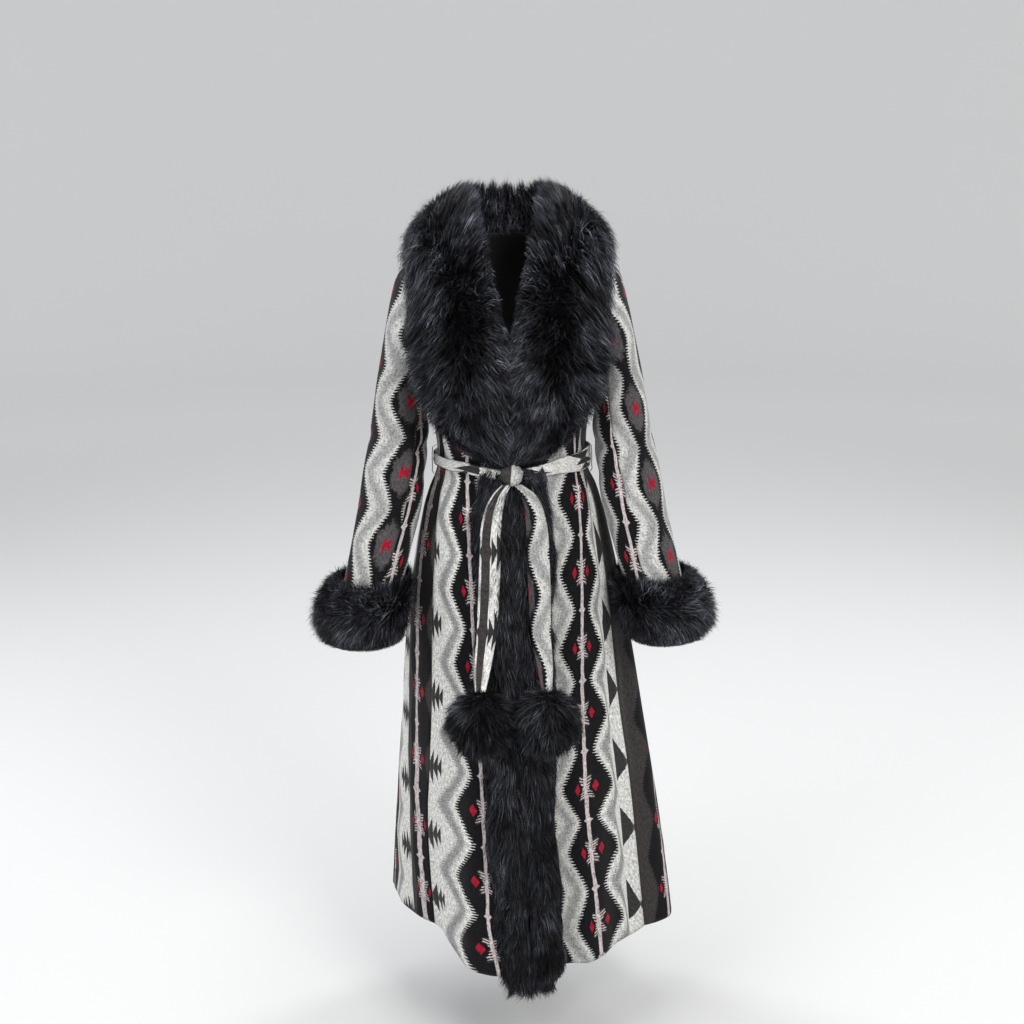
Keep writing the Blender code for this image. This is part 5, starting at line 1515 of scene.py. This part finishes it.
def belt_piece(finish):
    """The tied band: a flat turned sheet of the same cloth, crushed towards the knot."""
    angles = np.linspace(-180, 180, 264, endpoint=False)
    rim = np.linspace(-1, 1, 15)
    both = np.concatenate([rim, rim[::-1]])
    figures = (np.arange(len(BELT_FIGURES)) + 0.5) * PERIOD
    sections, chart = [], []
    for angle in angles:
        near_knot = 1 - float(fade(abs(degrees_apart(angle, 0.0)), 9, 52))
        half = float(table_at(BELT_COURSE, angle))
        inner = float(belt_waist(angle) + belt_space(angle))
        thick = BELT_THICK * (1 + BELT_BUNCH * near_knot)
        turn = math.radians(angle)
        fold = 0.34 * np.sin(rim * 4.3 + 2.6 * math.sin(turn * 1.7) + 1.3 * math.sin(turn * 5.1))
        fold += 0.22 * np.sin(rim * 9.1 - 3.1 * math.sin(turn * 3.3 + 0.7)) * (0.35 + 0.65 * near_knot)
        front = thick * (1.0 - 0.45 * np.abs(rim) ** 3) * (0.90 + fold * 0.55)
        ring = []
        middle = WAIST_Z + belt_lift(angle)
        for share, deep in list(zip(rim, front)) + [(s, 0.0) for s in rim[::-1]]:
            radius = inner + deep
            ring.append((radius * math.sin(turn), -radius * math.cos(turn), middle + share * half))
        sections.append(ring)
        if angle > 0:
            across = STEP_AT - 0.5 + both * half * 95 - 1.6 * float(fade(angle, 50, 14)) * (both > 0.1)
        else:
            low_edge = float(fade(-angle, 40, 62)) * (1 - float(fade(-angle, 100, 120)))
            across = 19.6 - both * half * 85 + 2.2 * low_edge * np.clip(-both - 0.35, 0, 1) / 0.65
        along = np.interp(angle - 6.0 * (both if angle < 0 else -both), BELT_FIGURES, figures)
        chart.append(np.stack([across, along], axis=-1))
    return tube("belt_band", sections, finish, chart, round_path=True)


def knot_piece(finish):
    """The knot: a soft pad of cloth, folded along its length."""
    centre = np.array([KNOT_X, knot_y(), KNOT_Z])
    rows, columns = 40, 56
    lean = np.linspace(0.03, math.pi - 0.03, rows)[:, None]
    turn = np.linspace(0, 2 * math.pi, columns, endpoint=False)[None, :]
    out = ball_directions(lean, turn)
    folds = 0.045 * np.sin(8 * out[..., 2] + 4 * out[..., 0]) * np.exp(-(((out[..., 0] + 0.6) / 0.5) ** 2))
    points = centre + out * np.array(KNOT_HALF) * (0.98 - 0.05 * (out[..., 0] > 0.1) + folds)[..., None]
    chart = np.stack([23.2 + out[..., 2] * 0.4, 3.0 + out[..., 0] * 1.5], axis=-1)
    return tube("belt_knot_core", points, finish, chart)


WRAP_AT, WRAP_HALF = 0.0090, 0.0100  # middle of the turn over the knot, and half its width
WRAP_OUTER, WRAP_INNER = 0.0021, 0.0003  # how far its two sides stand off the knot


def knot_wrap(finish):
    """The turn of the band that is pulled over the knot, from above to below."""
    centre = np.array([KNOT_X, knot_y(), KNOT_Z])
    half = np.array(KNOT_HALF)
    sections, chart = [], []
    rim = np.linspace(-1, 1, 11)
    both = np.concatenate([rim, rim[::-1]])
    for turn in np.linspace(0, 2 * math.pi, 72, endpoint=False):
        slant = 0.0016 * math.sin(turn)
        x = WRAP_AT + slant + rim * WRAP_HALF
        size = np.sqrt(np.maximum(1 - (x / half[0]) ** 2, 0.12))
        crimp = 0.0007 * np.sin(rim * 7 + 1.5 * math.sin(turn * 2)) + 0.0004 * np.sin(rim * 13 + turn)
        ring = []
        for lift, order in ((WRAP_OUTER, 1), (WRAP_INNER, -1)):
            edge = 1 - 0.7 * np.abs(rim) ** 6 if order > 0 else np.ones(len(rim))
            wave = crimp if order > 0 else 0 * crimp
            for k in range(len(rim))[::order]:
                grow = size[k] + (lift * edge[k] + wave[k]) / half[2]
                y, z = -half[1] * grow * math.cos(turn), half[2] * grow * math.sin(turn)
                ring.append(centre + np.array([x[k], y, z]))
        sections.append(ring)
        chart.append(np.stack([4.4 + both * 0.7, np.full(len(both), 6.5 + 1.5 * math.sin(turn))], axis=-1))
    return tube("belt_knot_wrap", sections, finish, chart, round_path=True)


def tail_piece(word, finish, clusters, across_at, shift):
    """A hanging belt end, with a rolled edge and soft length-wise folds."""
    sections, chart = [], []
    rim = np.linspace(-1, 1, 13)
    across = np.interp(0.5 + 0.5 * rim, [row[0] for row in across_at], [row[1] for row in across_at])
    across = np.concatenate([across, across[::-1]])
    for z in np.linspace(TAIL[0][0], TAIL[-1][0], 90):
        x, y = tail_line(z, word)
        half = 0.5 * tail_value(z, word + "_width")
        curl = TAIL_CURL * np.cos(math.pi * rim) * min(1.0, (half / 0.018) ** 3)
        sway = 0.0012 * np.sin(z * 38 + (0.0 if word == "left" else 2.0)) * (1 - rim**2)
        edge = 1 - 0.5 * np.abs(rim) ** 4
        front = [(x + s * half, y - c - w - TAIL_THICK * e, z) for s, c, w, e in zip(rim, curl, sway, edge)]
        back = [(x + s * half, y - c - w, z) for s, c, w in zip(rim[::-1], curl[::-1], sway[::-1])]
        sections.append(front + back)
        along = float(repeats(np.array(z), clusters)) + shift * PERIOD
        chart.append(np.stack([across, np.full(len(across), along)], axis=-1))
    return tube("belt_end_" + word, sections, finish, chart)


def loop_piece(side, word, finish):
    """A plied thread loop that holds the belt at the side."""
    angle = LOOP_ANGLE * side
    waist = float(belt_waist(angle) + belt_space(angle)) + BELT_THICK * 1.25 + 0.0008
    top, low = WAIST_Z + LOOP_HALF_HEIGHT, WAIST_Z - LOOP_HALF_HEIGHT
    near = 0.0016
    path = np.array([
        (float(body_radius(angle, top)) + near, top),
        (waist - 0.0012, WAIST_Z + BELT_HALF_HEIGHT + 0.0022),
        (waist, WAIST_Z + 0.012),
        (waist + 0.0004, WAIST_Z),
        (waist, WAIST_Z - 0.012),
        (waist + 0.0008, WAIST_Z - BELT_HALF_HEIGHT - 0.0018),
        (float(body_radius(angle, low)) + near, low - 0.0006),
    ])
    steps = np.concatenate([[0], np.cumsum(np.linalg.norm(np.diff(path, axis=0), axis=1))])
    even = np.linspace(0, steps[-1], 40)
    radius = np.interp(even, steps, path[:, 0]) + 0.0006
    height = np.interp(even, steps, path[:, 1])
    sections = []
    for number, (r, z) in enumerate(zip(radius, height)):
        ring = []
        for k in range(LOOP_SIDES):
            a = 2 * math.pi * k / LOOP_SIDES
            swell = 1.0 + 0.22 * math.cos(3 * a + number * 0.9)  # three plies that turn along the thread
            x, y = r + LOOP_HALF_DEPTH * swell * math.cos(a), LOOP_HALF_WIDTH * swell * math.sin(a)
            ring.append((x * side, y, z))
        sections.append(ring)
    return tube("thread_loop_" + word, sections, finish)


FLOOR_Z = -1.53
FLOOR_FLAT, FLOOR_CURVE = 7.0, 2.5  # the floor is level as far as this, then curves up by this radius
# Softboxes: name, place, target, size, power and colour
LAMPS = (
    ("key", (1.5, -2.7, 1.5), (0, 0, -0.45), (1.1, 1.8), 74, (1.0, 0.99, 0.97)),
    ("fill", (-2.1, -2.3, 0.7), (0, 0, -0.6), (1.4, 2.2), 38, (0.97, 0.98, 1.0)),
    ("rim_left", (-2.0, 1.5, 1.3), (0, 0, -0.4), (0.9, 2.0), 42, (0.96, 0.98, 1.0)),
    ("rim_right", (2.0, 1.6, 1.3), (0, 0, -0.4), (0.9, 2.0), 42, (0.96, 0.98, 1.0)),
    ("top", (0.0, -0.4, 2.3), (0, 0, 0), (1.6, 1.6), 30, (1, 1, 1)),
)
SENSOR = 36.0  # millimetres
LENS = 1599.0 / 1024.0 * SENSOR
CAMERA_PLACE = (0.0, -2.8, 0.28)
CAMERA_PITCH, CAMERA_ROLL = math.radians(15.6), math.radians(0.9)


def put(data, axes, place):
    """A camera or lamp whose own x, y and z axes are the columns of axes."""
    made = bpy.data.objects.new(data.name, data)
    bpy.context.scene.collection.objects.link(made)
    rows = [[*(float(value) for value in row), float(p)] for row, p in zip(axes, place)]
    made.matrix_world = Matrix(rows + [[0, 0, 0, 1]])
    return made


def studio_floor():
    """A level floor that curves up all round, far from the coat."""
    floor, shader = new_material("pale_floor", (0.55, 0.55, 0.545), 0.9)
    spread = Wave.tree.nodes.new("ShaderNodeVectorMath")
    spread.operation = "LENGTH"
    link(object_place(), spread.inputs[0])
    far = (Wave(spread.outputs["Value"]) - 2.6).past(7.0)
    link(mix_colour(far, (0.50, 0.50, 0.495), (0.92, 0.92, 0.92)), shader.inputs["Base Color"])
    bend = np.linspace(0.1, 0.5 * math.pi, 10)
    level, curved = np.linspace(0.5, FLOOR_FLAT, 12), FLOOR_FLAT + FLOOR_CURVE * np.sin(bend)
    radii = np.concatenate([[0.0002], level, curved, [FLOOR_FLAT + FLOOR_CURVE]])
    rise = np.concatenate([np.zeros(13), FLOOR_CURVE * (1 - np.cos(bend)), [5.5]])
    turns = np.linspace(0, 2 * math.pi, 96, endpoint=False)
    points = [[r * math.cos(t), r * math.sin(t), h + FLOOR_Z] for r, h in zip(radii, rise) for t in turns]
    index = np.arange(len(points)).reshape(len(radii), len(turns))
    after = np.roll(index, -1, axis=1)
    faces = np.stack([index[:-1], index[1:], after[1:], after[:-1]], axis=-1).reshape(-1, 4)
    return mesh_piece("studio_floor", points, faces, (floor,))


def stage_set():
    """Pale floor, soft studio light and the camera of the photograph."""
    ground = studio_floor()
    world = bpy.data.worlds.new("studio")
    bpy.context.scene.world = world
    world.use_nodes = True
    world.node_tree.nodes["Background"].inputs["Color"].default_value = (0.88, 0.89, 0.90, 1)
    world.node_tree.nodes["Background"].inputs["Strength"].default_value = 0.62

    for name, place, target, size, power, colour in LAMPS:
        lamp = bpy.data.lights.new(name, "AREA")
        lamp.shape = "RECTANGLE"
        lamp.size, lamp.size_y = size
        lamp.energy = power
        lamp.color = colour
        back = unit(np.array(place, float) - np.array(target, float))
        right = unit(np.cross([0, 0, 1.0], back))
        put(lamp, np.stack([right, np.cross(back, right), back], axis=1), place)

    camera = bpy.data.cameras.new("camera")
    camera.sensor_fit = "HORIZONTAL"
    camera.sensor_width = SENSOR
    camera.lens = LENS
    camera.clip_start, camera.clip_end = 0.05, 50
    forward = np.array([0, math.cos(CAMERA_PITCH), -math.sin(CAMERA_PITCH)])
    right = np.array([1.0, 0, 0])
    up = np.array([0, math.sin(CAMERA_PITCH), math.cos(CAMERA_PITCH)])
    tilted_right = right * math.cos(CAMERA_ROLL) - up * math.sin(CAMERA_ROLL)
    tilted_up = up * math.cos(CAMERA_ROLL) + right * math.sin(CAMERA_ROLL)
    axes = np.stack([tilted_right, tilted_up, -forward], axis=1)
    bpy.context.scene.camera = put(camera, axes, CAMERA_PLACE)
    bpy.context.scene.view_settings.view_transform = "Standard"


# Chart value across each tail, from its image-left edge at 0 to its other edge at 1
RIGHT_TAIL_CHART = ((0.0, 20.9), (0.10, 21.4), (0.14, 22.2), (0.46, 22.6), (0.52, 21.2), (1.0, 19.3))
LEFT_TAIL_CHART = ((0.0, 0.4), (0.06, 1.0), (1.0, 4.8))


def sheet_size(piece):
    """Half the area of a closed sheet, which has two layers."""
    mesh = piece.data
    sizes = np.zeros(len(mesh.polygons))
    mesh.polygons.foreach_get("area", sizes)
    return float(sizes.sum()) * 0.5


# Flat size of each cloth piece, in metres, and how it is held
FLATS = {
    "front": ((0.34, 1.34), "gathered"),
    "side": ((0.29, 1.14), "gathered"),
    "back": ((0.66, 1.34), "gathered"),
    "sleeve0": ((0.27, 0.67), "draped"),
    "sleeve1": ((0.13, 0.56), "draped"),
    "sleeve2": ((0.13, 0.56), "draped"),
}
SIDES = ((-1, "right"), (1, "left"))


def dress_cloth(plain, shifted, reverse):
    """Builds the panels and sleeves, hides the solid of the node that each of them stands for, and hangs them
    on the root body.
    """
    cloth = []
    for side, word in SIDES:
        wool = shifted if side > 0 else plain
        cloth.append((front_panel_piece(side, word, wool, reverse), "front_panel_" + word, "front"))
        cloth.append((side_panel_piece(side, word, plain, reverse), "side_panel_" + word, "side"))
        for number, piece in enumerate(sleeve_pieces(side, word, plain, reverse)):
            cloth.append((piece, "sleeve_" + word, "sleeve%d" % number))
    cloth.append((back_panel_piece(plain, reverse), "back_panel", "back"))
    for piece, node, kind in cloth:
        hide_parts(node)
        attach(piece, "root")
        flat, held = FLATS[kind]
        whole = flat[0] * flat[1]
        area = min(whole, max(sheet_size(piece) * 1.03, 0.3 * whole))


def dress_belt(wool, thread):
    """The same for the band, its ends, its knot and the thread loops."""
    band = belt_piece(wool)
    right = tail_piece("right", wool, (-0.525, -0.662), RIGHT_TAIL_CHART, 0.5)
    left = tail_piece("left", wool, (-0.532, -0.664), LEFT_TAIL_CHART, 0.0)
    for piece, node, flat in (
        (band, "belt", (0.80, 0.036)),
        (right, "belt_tail_right", (0.040, 0.36)),
        (left, "belt_tail_left", (0.040, 0.36)),
    ):
        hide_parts(node)
        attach(piece, "root")
    for knot in (knot_piece(wool), knot_wrap(wool)):
        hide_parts("belt_knot")
        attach(knot, "root")
    for side, word in SIDES:
        loop = loop_piece(side, word, thread)
        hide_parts("belt_loop_" + word)
        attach(loop, "root")


# Each fur: node, undercoat's share of its depth, hairs, seed, and how the hair grows
FURS = {
    "collar": ("fur_collar_", 0.66, 56000, 11, dict(
        per_lock=24, spread=0.009, depth=(0.40, 0.90), proud=0.009, bulge=0.008, clear=0.003,
        overflow=collar_overflow)),
    "front": ("fur_front_", 0.60, 31000, 21, dict(
        spread=0.007, depth=(0.30, 0.90), proud=0.008, bulge=0.007, clear=0.003, overflow=0.026)),
    "cuff": ("fur_cuff_", 0.66, 24000, 31, dict(
        round_u=True, spread=0.010, depth=(0.35, 0.88), proud=0.010, bulge=0.004, overflow=0.007,
        loose_share=0.26)),
    "pompom": ("pompom_", 0.74, 13000, 41, dict(
        round_u=True, per_lock=18, spread=0.009, depth=(0.40, 0.95), proud=0.011, bulge=0.005)),
}


def dress_fur(guard, under):
    """The same for each fur: its undercoat, then its hair."""
    for side, word in SIDES:
        ball, ball_hide, centre = pompom_grids(word)
        for name, grids, flow in (
            ("collar", collar_grids(side), collar_flow),
            ("front", front_fur_grids(side), front_flow(side)),
            ("cuff", cuff_grids(side), cuff_flow),
            ("pompom", (ball, ball_hide), pompom_flow(centre)),
        ):
            node, share, hairs, seed, growth = FURS[name]
            skin, hide = grids
            core = undercoat(name + "_under_" + word, skin, hide, share, under, growth.get("round_u", False))
            hair = strands(name + "_hair_" + word, skin, hide, flow, hairs, seed + side, guard, **growth)
            for piece in (core, hair):
                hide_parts(node + word)
                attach(piece, "root")


def main():
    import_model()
    stage_set()
    plain = patterned_wool("wool_even")
    shifted = patterned_wool("wool_left_front", ONE_STEP)
    reverse = plain_wool("wool_reverse", (0.022, 0.022, 0.024))
    guard = fur_material("fur_guard_hair")
    under = under_material("fur_undercoat")
    thread = thread_material("loop_thread")
    dress_cloth(plain, shifted, reverse)
    dress_belt(plain, thread)
    dress_fur(guard, under)


main()
